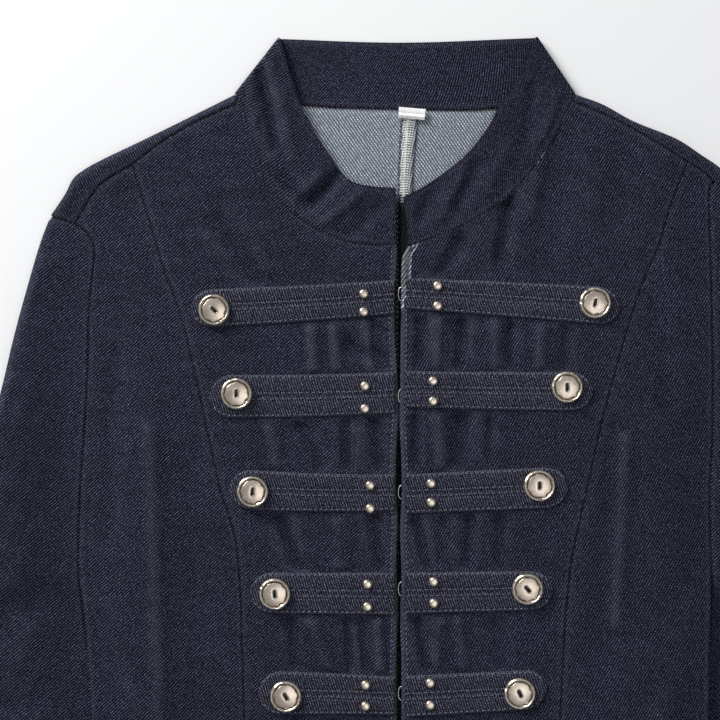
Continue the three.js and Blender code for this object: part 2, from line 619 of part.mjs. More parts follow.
// Highest strap surface under a round piece.
function seat(side, out, drop, radius) {
  let height = 0;
  for (let ring = 0; ring <= 1; ring += 0.25) {
    for (let turn = 0; turn < 2 * Math.PI; turn += Math.PI / 6) {
      height = Math.max(height, strapTop(side, out + ring * radius * Math.cos(turn),
        drop + ring * radius * Math.sin(turn)));
    }
  }
  return height + GAP;
}

function lathe(profile, segments) {
  const points = profile.map(([radius, height]) => new THREE.Vector2(radius, height));
  const geometry = new THREE.LatheGeometry(points, segments);
  geometry.rotateX(Math.PI / 2);
  geometry.deleteAttribute("normal");
  geometry.deleteAttribute("uv");
  const merged = mergeVertices(geometry, 1e-4);
  const kept = [];
  for (let i = 0; i < merged.index.count; i += 3) {
    const [a, b, c] = [0, 1, 2].map((k) => merged.index.getX(i + k));
    if (a !== b && b !== c && a !== c) kept.push(a, b, c);
  }
  merged.setIndex(kept);
  if (volume(merged) < 0) turnOver(merged);
  return merged;
}

function solid(geometry) {
  return new Manifold(new SolidMesh({
    numProp: 3,
    vertProperties: new Float32Array(geometry.getAttribute("position").array),
    triVerts: new Uint32Array(geometry.index.array),
  }));
}

// A dished metal button with two sewing holes.
function buttonGeometry(turn) {
  let body = solid(lathe(BUTTON_PROFILE, 16));
  for (const end of [-0.5, 0.5]) {
    const drill = lathe([[0, -1], [BUTTON.hole, -1], [BUTTON.hole, 4], [0, 4]], 6);
    drill.translate(end * BUTTON.pitch, 0, 0);
    body = body.subtract(solid(drill));
  }
  const mesh = body.getMesh();
  const geometry = new THREE.BufferGeometry();
  geometry.setAttribute("position", new THREE.Float32BufferAttribute(mesh.vertProperties, 3));
  geometry.setIndex(Array.from(mesh.triVerts));
  geometry.rotateZ(THREE.MathUtils.degToRad(turn));
  return geometry;
}

function fastenings(sideName, side) {
  STRAPS[sideName].forEach((values, k) => {
    const row = named(STRAP_COLUMNS, values);
    add(`strap_${sideName}_${k + 1}`, strap(side, row), "strap");
    const button = add(`button_${sideName}_${k + 1}`, buttonGeometry(row.buttonTurn), "pewter");
    button.position.set(side.sign * row.buttonOut, -row.buttonDrop,
      seat(side, row.buttonOut, row.buttonDrop, BUTTON.radius));
    [["upper", row.studTop], ["lower", row.studLow]].forEach(([place, drop]) => {
      const stud = add(`stud_${sideName}_${k + 1}_${place}`, lathe(STUD_PROFILE, 10), "pewter");
      stud.position.set(side.sign * row.studOut, -drop, seat(side, row.studOut, drop, 3));
    });
  });
}

// Wire hooks from the left front edge across the gap, one at each strap.
function hooks() {
  const { wire, reach, height, drops } = HOOK;
  const start = -LEFT.edge[0][0] + GAP;
  const path = [[start, height / 2], [start + reach * 0.6, height / 2], [start + reach, height / 3],
    [start + reach, -height / 3], [start + reach * 0.6, -height / 2], [start, -height / 2]];
  drops.forEach((drop, k) => {
    const curve = new THREE.CatmullRomCurve3(path.map(([x, y]) => new THREE.Vector3(x, y, 0)), false,
      "centripetal");
    const section = new THREE.Shape(Array.from({ length: 6 }, (_, i) => new THREE.Vector2(
      wire / 2 * Math.cos(i * Math.PI / 3), wire / 2 * Math.sin(i * Math.PI / 3))));
    const geometry = new THREE.ExtrudeGeometry(section, { steps: 10, extrudePath: curve });
    const hook = add(`hook_${k + 1}`, geometry, "wire");
    hook.position.set(0, -drop, FRONT_LEVEL);
  });
}

for (const [sideName, side] of [["left", LEFT], ["right", RIGHT]]) {
  panels(sideName, side);
  fastenings(sideName, side);
}
collar();
insideBack();
hooks();

// The origin is under the middle of the whole jacket.
const box = new THREE.Box3().setFromObject(jacket, true);
const middle = box.getCenter(new THREE.Vector3());
jacket.position.set(-middle.x, -middle.y, -box.min.z);

export default jacket;
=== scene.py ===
import math
from collections import namedtuple

import bpy
import numpy as np
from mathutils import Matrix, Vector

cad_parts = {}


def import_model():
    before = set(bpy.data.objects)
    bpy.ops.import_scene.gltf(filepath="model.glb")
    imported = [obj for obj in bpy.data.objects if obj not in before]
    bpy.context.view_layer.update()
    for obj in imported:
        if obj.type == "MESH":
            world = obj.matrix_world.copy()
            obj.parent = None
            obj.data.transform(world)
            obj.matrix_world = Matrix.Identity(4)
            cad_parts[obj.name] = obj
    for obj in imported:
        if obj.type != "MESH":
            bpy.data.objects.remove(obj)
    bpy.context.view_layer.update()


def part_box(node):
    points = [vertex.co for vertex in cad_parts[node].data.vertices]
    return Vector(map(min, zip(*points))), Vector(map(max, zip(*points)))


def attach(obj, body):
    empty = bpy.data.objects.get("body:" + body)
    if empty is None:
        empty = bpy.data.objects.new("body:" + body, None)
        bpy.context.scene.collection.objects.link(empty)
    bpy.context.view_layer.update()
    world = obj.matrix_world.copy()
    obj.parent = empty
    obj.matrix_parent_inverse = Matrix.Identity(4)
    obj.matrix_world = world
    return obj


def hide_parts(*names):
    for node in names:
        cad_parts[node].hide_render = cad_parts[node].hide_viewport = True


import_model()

bl_info = {
    "name": "Laid-flat denim jacket",
    "version": (1, 0, 0),
    "blender": (4, 5, 0),
    "location": "3D View > Sidebar > Jacket",
    "description": "Dresses the jacket's frame in denim, thread and metal",
    "category": "Add Mesh",
}

# A stand-collar denim jacket laid flat on its back. The tables and heights here are in millimetres and
# measured as a tailor would: out, the distance from the centre front line to either side, and drop,
# the distance below the top edge of the collar. Left and right are as seen from above.
MM = 0.001
BODY = "root"
LABEL_TOP = 44.2
TOP_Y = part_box("neck_label")[1].y / MM + LABEL_TOP  # the collar's top edge

# Heights of the middle of each layer above the table, as in the frame
CLOTH = 1.2
COLLAR_CLOTH = 2.4
TRIM_CLOTH = 1.0
BACK_LEVEL = 0.6
ALLOWANCE_LEVEL = 1.75
FRONT_LEVEL = 4.9
EDGE_LEVEL = 0.7  # where a rolled edge meets the layer under it
TUCKED_LEVEL = 2.1
BACK_RISE = 3.5
FRONT_RISE = 2.1

# Lengths and clearances
HEM_DROP = 648
CUFF_DROP = 694
UNDERARM_DROP = 317
TUCK_RUN = 27
TUCK_END = (560, 600)
SHOULDER_ROLL = 3.2
SLEEVE_ROLL = 6
SLEEVE_START = 0.005
SEAM_GAP = 0.1
UNDER_INSET = 1.3  # the lower layer ends this far inside a rolled edge
BACK_FIRST_ROWS = 0.004  # least share of the back seam between two rows
CLOSED_FRONT = {"drop": (90, 104), "out": (9, 16)}  # where the shade of the closed front eases in and out
COLLAR_COVER = (64, 69)  # out, where the shade under the collar eases in
SHADE_DEPTH = 1.5  # painted shade: taken off the attribute on the upper face where the shade is full
BODY_LOFT = {"top": 2.2, "low": 5.2, "from": 130, "to": 300}
SLEEVE_LOFT = {"top": 3.4, "low": 6.6, "cuff": 2.8}
LINE_POINTS = 70
SPLINE_STEPS = 16

# Seam lines as rows of [out, drop]
SEAMS = {
    "left": {
        "fold": [[98.4, 34.2], [130.8, 50.4], [155.4, 62.4], [180.6, 74.4], [190.2, 79.8],
                 [196.2, 84.6], [201, 93.6], [210, 107]],
        "shoulder_inner": [[97.4, 40.2], [120.6, 50.4], [140.4, 61.8], [160.2, 76.8]],
        "shoulder_outer": [[160.2, 76.8], [176.4, 86.4], [184.2, 94.2], [190.2, 104.4], [195, 112.2]],
        "armhole_top": [[210, 107], [205, 109], [195, 112.2]],
        "armhole": [[195, 112.2], [190.2, 115.2], [186, 120], [183, 127], [184, 140], [186, 160],
                    [188, 218], [192, 278], [193, 317]],
        "side": [[193, 317], [189, 350], [185, 410], [184, 452], [190, 520], [204, 648]],
        "princess": [[160.2, 76.8], [150, 109.8], [141, 139.8], [132, 163.8], [123, 199.8],
                     [114, 241.8], [108, 268.8], [99, 298.8], [96, 322.8], [94.8, 352.8],
                     [93, 409.8], [92, 452], [110, 648]],
        "edge": [[2.4, 124.8], [3.0, 140], [4.0, 160], [3.9, 178], [2.8, 197], [1.7, 226],
                 [3.1, 248], [3.4, 268], [2.3, 290], [3.1, 318], [2.4, 344], [3.1, 372], [2.8, 410],
                 [2.8, 648]],
        "neck_top": [[98.4, 34.2], [97.4, 40.2]],
        "neck": [[97.4, 40.2], [93.4, 58], [86.4, 79.2], [73.8, 97.2], [59.4, 109.8],
                 [45.6, 118.2], [31.2, 123], [16.8, 124.8], [2.4, 124.8]],
        "collar_top": [[72, 0.6], [68, 15], [60, 39.6], [54, 52.2], [42.6, 70.8], [35.4, 81],
                       [28.2, 87], [16.8, 89.6], [2.4, 90.6]],
        "sleeve_outer": [[210, 107], [215.4, 121.2], [223.2, 148.2], [232.2, 181.8], [240, 214.8],
                         [268, 312], [368, 660]],
        "sleeve_inner": [[193.4, 317], [189.8, 350], [186, 375], [172, 405], [166, 440],
                         [194, 540], [242, 694]],
    },
    "right": {
        "fold": [[104.4, 34.2], [121.2, 40.2], [139.8, 50.4], [167.4, 61.8], [181.2, 70.8],
                 [192, 78], [201, 87], [210, 103]],
        "shoulder_inner": [[103.4, 38.8], [110.4, 41.4], [130.8, 50.4], [158.4, 66], [172.6, 75]],
        "shoulder_outer": [[172.6, 75], [181.2, 79.8], [188, 86]],
        "armhole_top": [[210, 103], [200, 95.5], [188, 86]],
        "armhole": [[188, 86], [185.8, 92], [186, 110], [186.6, 128], [187.8, 188],
                    [187.8, 236], [186, 278], [187, 317]],
        "side": [[187, 317], [186, 350], [185, 410], [185, 452], [190, 520], [204, 648]],
        "princess": [[172.6, 75], [168, 86.4], [160.8, 105.6], [155.4, 124.8], [148.8, 139.8],
                     [139.8, 163.8], [127.8, 204.6], [120.6, 232.2], [111.6, 272.4],
                     [106.2, 296.4], [102.6, 314.4], [99.6, 342], [97.8, 369.6], [96, 409.8],
                     [95, 452], [112, 648]],
        "edge": [[6, 126], [3.5, 129], [2.0, 135], [1.5, 155], [1.4, 176], [1.0, 205], [0.5, 228],
                 [1.6, 250], [2.0, 272], [1.0, 296], [1.9, 322], [1.1, 348], [1.9, 376], [1.7, 410],
                 [1.7, 648]],
        "neck_top": [[104.4, 34.2], [103.4, 38.8]],
        "neck": [[103.4, 38.8], [93.6, 58.2], [82.2, 77.4], [67.8, 93.6], [54, 103.8],
                 [39.6, 112.8], [25.2, 118.8], [6, 126]],
        "collar_top": [[81.6, 0], [73, 20], [58.8, 42.6], [52.2, 55.2], [39.6, 70.8],
                       [29.4, 79.2], [18.6, 87], [7.2, 93.6], [1.8, 96]],
        "sleeve_outer": [[210, 103], [215.4, 117], [223.2, 144], [232.2, 178], [240, 212],
                         [268, 310], [368, 660]],
        "sleeve_inner": [[187.4, 317], [186.6, 350], [185, 375], [172, 405], [166, 440],
                         [194, 540], [242, 694]],
    },
}
# Lines across the middle as rows of [across, drop]
BACK_NECK = [[-98.4, 34.2], [-60, 40.5], [0, 43], [60, 42.5], [104.4, 34.2]]
COLLAR_BACK_TOP = [[-72, 0.6], [0, 2.8], [81.6, 0]]
BACK_SEAM = [[1.8, 43], [-0.5, 90], [-0.5, 648]]
ALLOWANCE_EDGE = [[11, 44], [7.4, 92], [7.4, 644]]
ALLOWANCE_END = 643
OVERLOCK_PITCH = 1.5

# Folds: from and to as out and drop, then half width and height, a trough where negative
BODY_FOLDS = {
    "left": [
        [78, 92, 50, 136, 9, -1.2],
        [160, 92, 148, 150, 9, -1],
        [62, 190, 58, 300, 16, 0.5],
        [128, 250, 122, 420, 10, -1.2],
        [70, 430, 84, 640, 13, 1.3],
        [34, 425, 40, 600, 10, -0.9],
        [146, 470, 160, 640, 12, 1.2],
        [118, 480, 126, 600, 10, -1],
    ],
    "right": [
        [96, 60, 86, 134, 9, -1.1],
        [66, 100, 58, 138, 8, -0.9],
        [130, 70, 124, 110, 9, -1],
        [128, 236, 118, 374, 10, -1.6],
        [60, 180, 56, 400, 14, 0.7],
        [64, 430, 76, 640, 13, 1.2],
        [30, 420, 36, 620, 10, -0.9],
        [150, 460, 164, 640, 12, 1.2],
        [122, 500, 132, 620, 10, -1],
    ],
}
SLEEVE_FOLDS = {
    "left": [
        [222, 180, 246, 300, 12, 1.2],
        [210, 330, 262, 372, 11, -1.8],
        [206, 392, 272, 412, 11, -1.6],
        [226, 436, 288, 452, 11, -1.2],
        [262, 470, 306, 640, 14, 1.2],
    ],
    "right": [
        [220, 170, 244, 290, 12, 1.2],
        [208, 322, 258, 360, 11, -1.7],
        [208, 384, 276, 400, 11, -1.7],
        [232, 430, 290, 462, 11, -1.1],
        [266, 480, 308, 640, 14, 1.1],
    ],
}
# Small creases between the straps and near the armholes, in the same form
CREASES = {
    "left": [
        [54, 172, 52, 202, 4, 0.8],
        [41, 174, 38, 203, 3.5, 0.6],
        [30, 184, 10, 193, 5, -1.0],
        [22, 172, 18, 204, 3, 0.5],
        [60, 232, 48, 254, 4, -1.0],
        [33, 230, 32, 256, 3.5, -0.8],
        [16, 229, 13, 258, 4.5, -0.8],
        [80, 228, 74, 256, 5, 0.6],
        [72, 288, 60, 318, 4.5, -1.0],
        [17, 288, 12, 318, 4, -0.8],
        [38, 290, 36, 316, 5, 0.5],
        [54, 348, 42, 380, 4.5, 0.8],
        [32, 348, 30, 378, 3, -0.7],
        [24, 350, 20, 380, 3, -0.7],
        [14, 350, 12, 378, 3, 0.6],
        [66, 346, 62, 380, 4, -0.6],
        [40, 410, 30, 436, 5, -0.8],
        [150, 236, 144, 410, 6, 0.8],
        [172, 190, 176, 300, 6, -0.7],
        [110, 110, 84, 146, 6, -0.6],
    ],
    "right": [
        [65, 100, 60, 134, 4.5, -0.9],
        [36, 122, 24, 142, 5, -0.9],
        [84, 70, 78, 104, 5, 0.6],
        [12, 171, 10, 204, 3, -0.8],
        [37, 171, 35, 203, 4, -0.9],
        [67, 172, 66, 203, 3.5, -0.7],
        [99, 173, 97, 202, 3.5, -0.6],
        [22, 172, 21, 204, 3.5, 0.6],
        [57, 172, 56, 203, 4, 0.6],
        [84, 172, 83, 204, 4, 0.6],
        [9, 229, 8, 259, 3.5, -0.8],
        [37, 228, 35, 258, 6, -1.0],
        [54, 230, 53, 258, 3.5, -0.6],
        [22, 229, 24, 258, 4, 0.6],
        [9, 288, 16, 316, 3.5, -0.8],
        [26, 289, 24, 312, 4, -0.5],
        [42, 288, 40, 317, 4, -0.8],
        [60, 289, 59, 316, 4, -0.6],
        [10, 349, 16, 378, 3.5, -0.9],
        [24, 350, 21, 374, 4, 0.5],
        [34, 350, 38, 378, 4, 0.6],
        [58, 350, 60, 378, 5, -0.6],
        [134, 240, 128, 350, 5, 0.8],
        [150, 130, 160, 220, 7, -0.6],
    ],
}
# Creases of the collar's folded fronts, in the same form
COLLAR_CREASES = {
    "left": [
        [84, 20, 75, 66, 3.2, -1.5],
        [92, 22, 88, 60, 3.5, 0.7],
        [72, 34, 66, 70, 4.5, 0.6],
        [33, 78, 52, 98, 4.5, -1.9],
        [24, 94, 48, 112, 4, 1.0],
        [50, 84, 62, 96, 4, 0.8],
        [12, 100, 30, 118, 4, -0.8],
        [60, 96, 70, 84, 4, -0.8],
    ],
    "right": [
        [12, 108, 24, 86, 4, -1.1],
        [34, 102, 46, 76, 4, -1.1],
        [24, 108, 36, 84, 3.5, 0.7],
        [52, 90, 62, 68, 4.5, 0.6],
        [80, 30, 74, 64, 4, -0.8],
        [94, 34, 86, 60, 4, 0.6],
    ],
}

COLLAR_CREASE_SHARES = {"left": 1.9, "right": 1.6}
COLLAR_STITCH_COLUMN = 3  # of the collar's grid, counted from the seam
COLLAR_STITCH_LEVEL = 2.3  # stitches lower than this are left out

Strap = namedtuple("Strap", "inner middle outer inner_width outer_width tip button_turn")
# Drops of the middle line at the front edge, halfway and at the tip, widths, out of the tip
STRAPS = {
    "left": [
        Strap(156, 160.8, 163.2, 20.4, 22.8, 125.4, -45),
        Strap(213.3, 216, 215.4, 24.6, 25.8, 114, 90),
        Strap(273, 274.2, 270.6, 21.6, 24, 102, 85),
        Strap(333.6, 333.6, 333, 25.2, 24, 90, 95),
        Strap(394.8, 393, 393, 22.8, 26.4, 84.6, -60),
    ],
    "right": [
        Strap(153.9, 157.2, 162, 18.6, 22.8, 131.4, 75),
        Strap(211.2, 212.7, 212.4, 21.6, 23.4, 115.2, 90),
        Strap(273.9, 271.8, 269.7, 23.4, 24.6, 100.2, 90),
        Strap(333.3, 332.4, 331.5, 24.6, 23.4, 91.2, -48),
        Strap(395.1, 393, 390.3, 24.6, 23.4, 87.6, -65),
    ],
}
STRAP_START = 3.6
EDGE_REACH = 1.2  # the front edges' soft roll goes this far past the seam line
EDGE_ROLL = 2.2
EDGE_SINK = 2.6
# The reverse side that shows beside the top of the right edge: the drops where it starts to taper and
# ends, the stretch cut off its tip, its width and its painted shade
TURNED_OUT = {"taper": 138, "end": 164, "blunt": 2, "width": 3.6, "shade": 0.7}
EDGE_RUB_AND_HIGHLIGHT = {"amount": 0.14, "away": 1.4, "width": 1.3}  # the pale line along the front edges: partly worn cloth, partly a painted highlight on the roll
STRAP_TAPER = 15
STRAP_RISE = 2.2  # top of a strap above the middle of the cloth under it
CENTRE_ROWS = 1.8  # of a strap's two middle stitch rows from its middle line
EDGE_ROW = 1.3  # of a stitch row from a strap's edge
SEAM_ROW = 2.4  # of a stitch row from a front edge or a princess seam
BUTTON_RADIUS = 9.5
BUTTON_PITCH = 3.2
HOOK = {"wire": 0.7, "start": 2.2, "reach": 2.9, "lift": 0.7, "height": 8,
        "drops": [154.2, 215.4, 273, 331, 393.6]}

# Angles of the twill lines, anticlockwise from the right
TWILL = {
    "left": {"front": 43, "sleeve": 40, "shoulder": 117, "back": 125},
    "right": {"front": 60, "sleeve": 45, "shoulder": 63, "back": 125},
    "collar": 64,
    "strap": 107,
}
# Camera
FIELD = 432  # width of the picture on the cloth
PICTURE_MIDDLE = (-24, 193.8)  # across and drop
LENS = 85
SENSOR = 36


class JacketSizes(bpy.types.PropertyGroup):
    """Sizes of the cloth's details, in metres."""

    twill_pitch: bpy.props.FloatProperty(
        name="Twill pitch", description="Distance between the twill's lines",
        default=0.00145, min=0.0008, max=0.006, precision=5, subtype="DISTANCE", unit="LENGTH")
    stitch_length: bpy.props.FloatProperty(
        name="Stitch length", description="Length of one stitch that shows",
        default=0.0021, min=0.001, max=0.008, precision=5, subtype="DISTANCE", unit="LENGTH")
    stitch_gap: bpy.props.FloatProperty(
        name="Stitch gap", description="Cloth between two stitches of a row",
        default=0.0011, min=0.0003, max=0.006, precision=5, subtype="DISTANCE", unit="LENGTH")
    thread: bpy.props.FloatProperty(
        name="Thread", description="Thickness of the sewing thread",
        default=0.0006, min=0.0002, max=0.002, precision=5, subtype="DISTANCE", unit="LENGTH")
    row_spacing: bpy.props.FloatProperty(
        name="Cloth cells", description="Distance between two rows of points where the picture looks",
        default=0.0019, min=0.001, max=0.01, precision=5, subtype="DISTANCE", unit="LENGTH")
    creases: bpy.props.FloatProperty(
        name="Creases", description="Share of the small creases' full height",
        default=2.6, min=0.0, max=4.0, subtype="FACTOR")


def colour_property(name, description, default):
    """A colour setting in linear red, green and blue."""
    return bpy.props.FloatVectorProperty(
        name=name, description=description, default=default, size=3, min=0, max=1, subtype="COLOR")


class JacketColours(bpy.types.PropertyGroup):
    """Colours of the jacket's finishes."""

    denim_dark: colour_property("Denim, dark", "Between the twill's lines", (0.0024, 0.0022, 0.0080))
    denim_light: colour_property("Denim, light", "On the twill's lines", (0.138, 0.142, 0.226))
    strap_dark: colour_property("Strap, dark", "Between the straps' lines", (0.0036, 0.0035, 0.0105))
    strap_light: colour_property("Strap, light", "On the straps' lines", (0.235, 0.245, 0.325))
    reverse_dark: colour_property("Reverse, dark", "Between the inside's lines", (0.075, 0.097, 0.135))
    reverse_light: colour_property("Reverse, light", "On the inside's lines", (0.97, 1.0, 1.0))
    fleck: colour_property("Flecks", "Pale specks of yarn", (0.210, 0.215, 0.270))
    thread: colour_property("Thread", "Topstitching", (0.195, 0.210, 0.280))
    pale_thread: colour_property("Pale thread", "Overlock and label stitching", (0.80, 0.80, 0.74))
    seam_thread: colour_property("Seam thread", "Seam stitching that hardly shows", (0.045, 0.048, 0.075))
    label: colour_property("Label", "Bare woven tape", (0.95, 0.95, 0.94))
    metal: colour_property("Metal", "Dome of a button or stud", (0.65, 0.56, 0.475))
    rim: colour_property("Metal, worn", "Polished high places", (0.66, 0.62, 0.54))
    tarnish: colour_property("Tarnish", "Hollows of the metal", (0.045, 0.038, 0.03))
    wire: colour_property("Wire", "Hooks", (0.42, 0.42, 0.42))
    floor: colour_property("Floor", "Pale studio floor", (0.86, 0.86, 0.86))


def sizes():
    return bpy.context.scene.jacket_sizes


def colour(name):
    return (*getattr(bpy.context.scene.jacket_colours, name), 1)


# Numbers and curves
def mix(a, b, share):
    """The value at a share of the way from a to b."""
    return a + (b - a) * share


def smooth(value, start, end):
    """0 before start and 1 past end, with a smooth cubic between them."""
    t = np.clip((value - start) / (end - start), 0, 1)
    return t * t * (3 - 2 * t)


def bump(distance, width):
    """A bell: 1 at no distance, falling as e to the minus squared share of the width."""
    return np.exp(-(distance / width) ** 2)


def hermite(a, slope_a, b, slope_b, t):
    """Cubic between a and b that leaves a and reaches b at the given slopes."""
    return ((2 * t**3 - 3 * t**2 + 1) * a + (t**3 - 2 * t**2 + t) * slope_a
            + (3 * t**2 - 2 * t**3) * b + (t**3 - t**2) * slope_b)


def shares_of(points):
    """Share of the length of a line of points that is reached at each of them."""
    sums = np.concatenate([[0], np.cumsum(np.linalg.norm(np.diff(points, axis=0), axis=1))])
    return sums / sums[-1]


def length_of(points):
    """Length of a line of straight pieces."""
    return np.linalg.norm(np.diff(points, axis=0), axis=1).sum()


def resample(points, shares):
    """Points at shares of the length of a line of straight pieces."""
    points = np.asarray(points, float)
    reached = shares_of(points)
    return np.stack([np.interp(shares, reached, column) for column in points.T], axis=-1)


def spline(table, shares):
    """Points at shares of the length of a smooth curve through a table's rows.

    Between two rows it is a cubic whose slopes come from the rows on either side, each weighted by the
    square root of its distance.
    """
    p = np.array(table, float)
    p = np.vstack([2 * p[0] - p[1], p, 2 * p[-1] - p[-2]])
    knots = np.sqrt(np.linalg.norm(np.diff(p, axis=0), axis=1))[:, None]
    d0, d1, d2 = knots[:-2], knots[1:-1], knots[2:]
    a, b, c, d = p[:-3], p[1:-2], p[2:-1], p[3:]
    start = ((b - a) / d0 - (c - a) / (d0 + d1) + (c - b) / d1) * d1
    end = ((c - b) / d1 - (d - b) / (d1 + d2) + (d - c) / d2) * d1
    t = np.linspace(0, 1, SPLINE_STEPS, endpoint=False)[None, :, None]
    rows = hermite(b[:, None], start[:, None], c[:, None], end[:, None], t).reshape(-1, 2)
    return resample(np.vstack([rows, p[-2]]), shares)


def out_at(table, drop):
    """The out value of a table at a drop: a cubic between rows, straight past its ends."""
    table = np.asarray(table, float)
    out, drops = table[:, 0], table[:, 1]
    slope = np.empty(len(table))
    slope[1:-1] = (out[2:] - out[:-2]) / (drops[2:] - drops[:-2])
    slope[0] = (out[1] - out[0]) / (drops[1] - drops[0])
    slope[-1] = (out[-1] - out[-2]) / (drops[-1] - drops[-2])
    k = np.clip(np.searchsorted(drops, drop, side="right") - 1, 0, len(table) - 2)
    span = drops[k + 1] - drops[k]
    t = (drop - drops[k]) / span
    inside = hermite(out[k], span * slope[k], out[k + 1], span * slope[k + 1], np.clip(t, 0, 1))
    before = np.minimum(t, 0) * span * slope[0]
    after = np.maximum(t - 1, 0) * span * slope[-1]
    return inside + before + after


def distance(line, out, drop):
    """Distance from places to a line: the least over its straight pieces."""
    line = np.asarray(line, float)
    out, drop = np.broadcast_arrays(np.asarray(out, float), np.asarray(drop, float))
    best = np.full(out.shape, np.inf)
    for a, b in zip(line[:-1], line[1:]):
        way = b - a
        t = np.clip(((out - a[0]) * way[0] + (drop - a[1]) * way[1]) / way.dot(way), 0, 1)
        best = np.minimum(best, np.hypot(out - a[0] - t * way[0], drop - a[1] - t * way[1]))
    return best


def roll(inside, radius):
    """Share of the full height inside a rolled edge: a quarter circle of the radius."""
    t = np.clip(1 - inside / radius, 0, 1)
    return np.sqrt(1 - t * t)


def folds(rows, out, drop):
    """Sum of soft folds: each is its height times a bell of the distance to its own line."""
    total = np.zeros(np.broadcast(out, drop).shape)
    for x0, y0, x1, y1, width, height in rows:
        total += height * bump(distance([[x0, y0], [x1, y1]], out, drop), width)
    return total


def unevenness(x, y, seed):
    """Soft waves: a sum of five sines of the place, each in its own direction and length."""
    chance = np.random.default_rng(seed)
    total = 0
    for size in (61, 43, 29, 19, 13):
        angle, phase = chance.uniform(0, 2 * np.pi, 2)
        total = total + np.sin((x * np.cos(angle) + y * np.sin(angle)) * 2 * np.pi / size + phase)
    return total / 5


class Half:
    """One half of the jacket: its seam tables and the smooth lines worked out from them."""

    def __init__(self, name, sign):
        self.name = name
        self.sign = sign
        for key, table in SEAMS[name].items():
            setattr(self, key, np.array(table, float))
        even = np.linspace(0, 1, LINE_POINTS)
        self.fold_line = spline(self.fold, even)
        self.arm_top_line = spline(self.armhole_top, even[::5])
        self.outer_line = spline(self.sleeve_outer, even)
        drops = mix(self.armhole[0, 1], UNDERARM_DROP, even)
        self.arm_line = np.column_stack([out_at(self.armhole, drops), drops])
        drops = mix(UNDERARM_DROP, CUFF_DROP, even)
        self.inner_line = np.column_stack([out_at(self.sleeve_inner, drops), drops])
        self.sleeve_seam = np.vstack([self.arm_top_line[:-1], self.arm_line])


HALVES = [Half("left", -1), Half("right", 1)]


# Heights of the layers
def tuck(side, out, drop):
    """How far the body lies over the tucked sleeve: 1 over the sleeve, 0 clear of it."""
    inner = out_at(side.sleeve_inner, drop)
    reach = smooth(out, inner - 34, inner - 15)
    return (smooth(drop, UNDERARM_DROP, UNDERARM_DROP + TUCK_RUN)
            * (1 - smooth(drop, *TUCK_END)) * reach)


def body_level(side, out, drop):
    """Middle of the front cloth: lofted beside the armhole, lower towards the middle, plus the large
    folds, and turned down as a quarter circle at the shoulder fold."""
    inside = np.where(drop > UNDERARM_DROP, out_at(side.side, drop) - out,
                      distance(side.arm_line, out, drop))
    loft = (mix(BODY_LOFT["top"], BODY_LOFT["low"],
                smooth(drop, BODY_LOFT["from"], BODY_LOFT["to"]))
            * (1 - 0.6 * smooth(drop, 560, HEM_DROP)))
    level = (FRONT_LEVEL + loft * smooth(inside, 0, 38) * (1 - 0.72 * smooth(inside, 42, 125))
             + FRONT_RISE * tuck(side, out, drop)
             + folds(BODY_FOLDS[side.name], out, drop) * smooth(inside, 0, 20))
    return mix(EDGE_LEVEL, level, roll(distance(side.fold_line, out, drop), SHOULDER_ROLL))


def strap_middle(strap, out):
    """Drop of a strap's middle line: a parabola through its three drops."""
    share = (out - STRAP_START) / (strap.tip - STRAP_START)
    return mix(mix(strap.inner, strap.middle, share), mix(strap.middle, strap.outer, share), share)


def strap_half(strap, out):
    """Half width of a strap, narrowed to a blunt point over its last stretch."""
    share = (out - STRAP_START) / (strap.tip - STRAP_START)
    end = np.clip((out - strap.tip + STRAP_TAPER) / STRAP_TAPER, 0, 1)
    taper = np.maximum((1 - end**2.6) ** 0.62, 0.16)
    return mix(strap.inner_width, strap.outer_width, share) / 2 * taper


def under_strap(side, out, drop):
    """1 under a strap, easing to 0 beside it: the creases stop there."""
    cover = np.zeros(np.broadcast(out, drop).shape)
    for strap in STRAPS[side.name]:
        clear = strap_half(strap, np.minimum(out, strap.tip)) - np.abs(drop - strap_middle(strap, out))
        clear = np.minimum(clear, strap.tip - out)
        cover = np.maximum(cover, smooth(clear, -5, 0))
    return cover


def front_height(side, out, drop):
    """Front cloth with its small creases, soft waves, puckered seams and hollow stitch lines."""
    free = (1 - under_strap(side, out, drop)) * smooth(distance(side.fold_line, out, drop), 3, 12)
    creases = folds(CREASES[side.name], out, drop) * sizes().creases
    waves = 0.42 * unevenness(out, drop, 3 + side.sign)
    from_edge = out - out_at(side.edge, drop)
    from_seam = np.abs(out - out_at(side.princess, drop))
    pucker = (0.38 * np.sin(drop * 1.42 + 0.9 * np.sin(drop * 0.23)) * bump(from_edge - 3, 3)
              + 0.14 * np.sin(drop * 1.1 + np.sin(drop * 0.31)) * bump(from_seam, 4))
    hollow = -0.28 * bump(from_edge - SEAM_ROW, 0.7) - 0.2 * bump(from_seam - SEAM_ROW, 0.7)
    top = body_level(side, out, drop) + (creases + waves) * free + pucker + hollow
    return top - EDGE_SINK * (1 - roll(from_edge + EDGE_REACH, EDGE_ROLL))


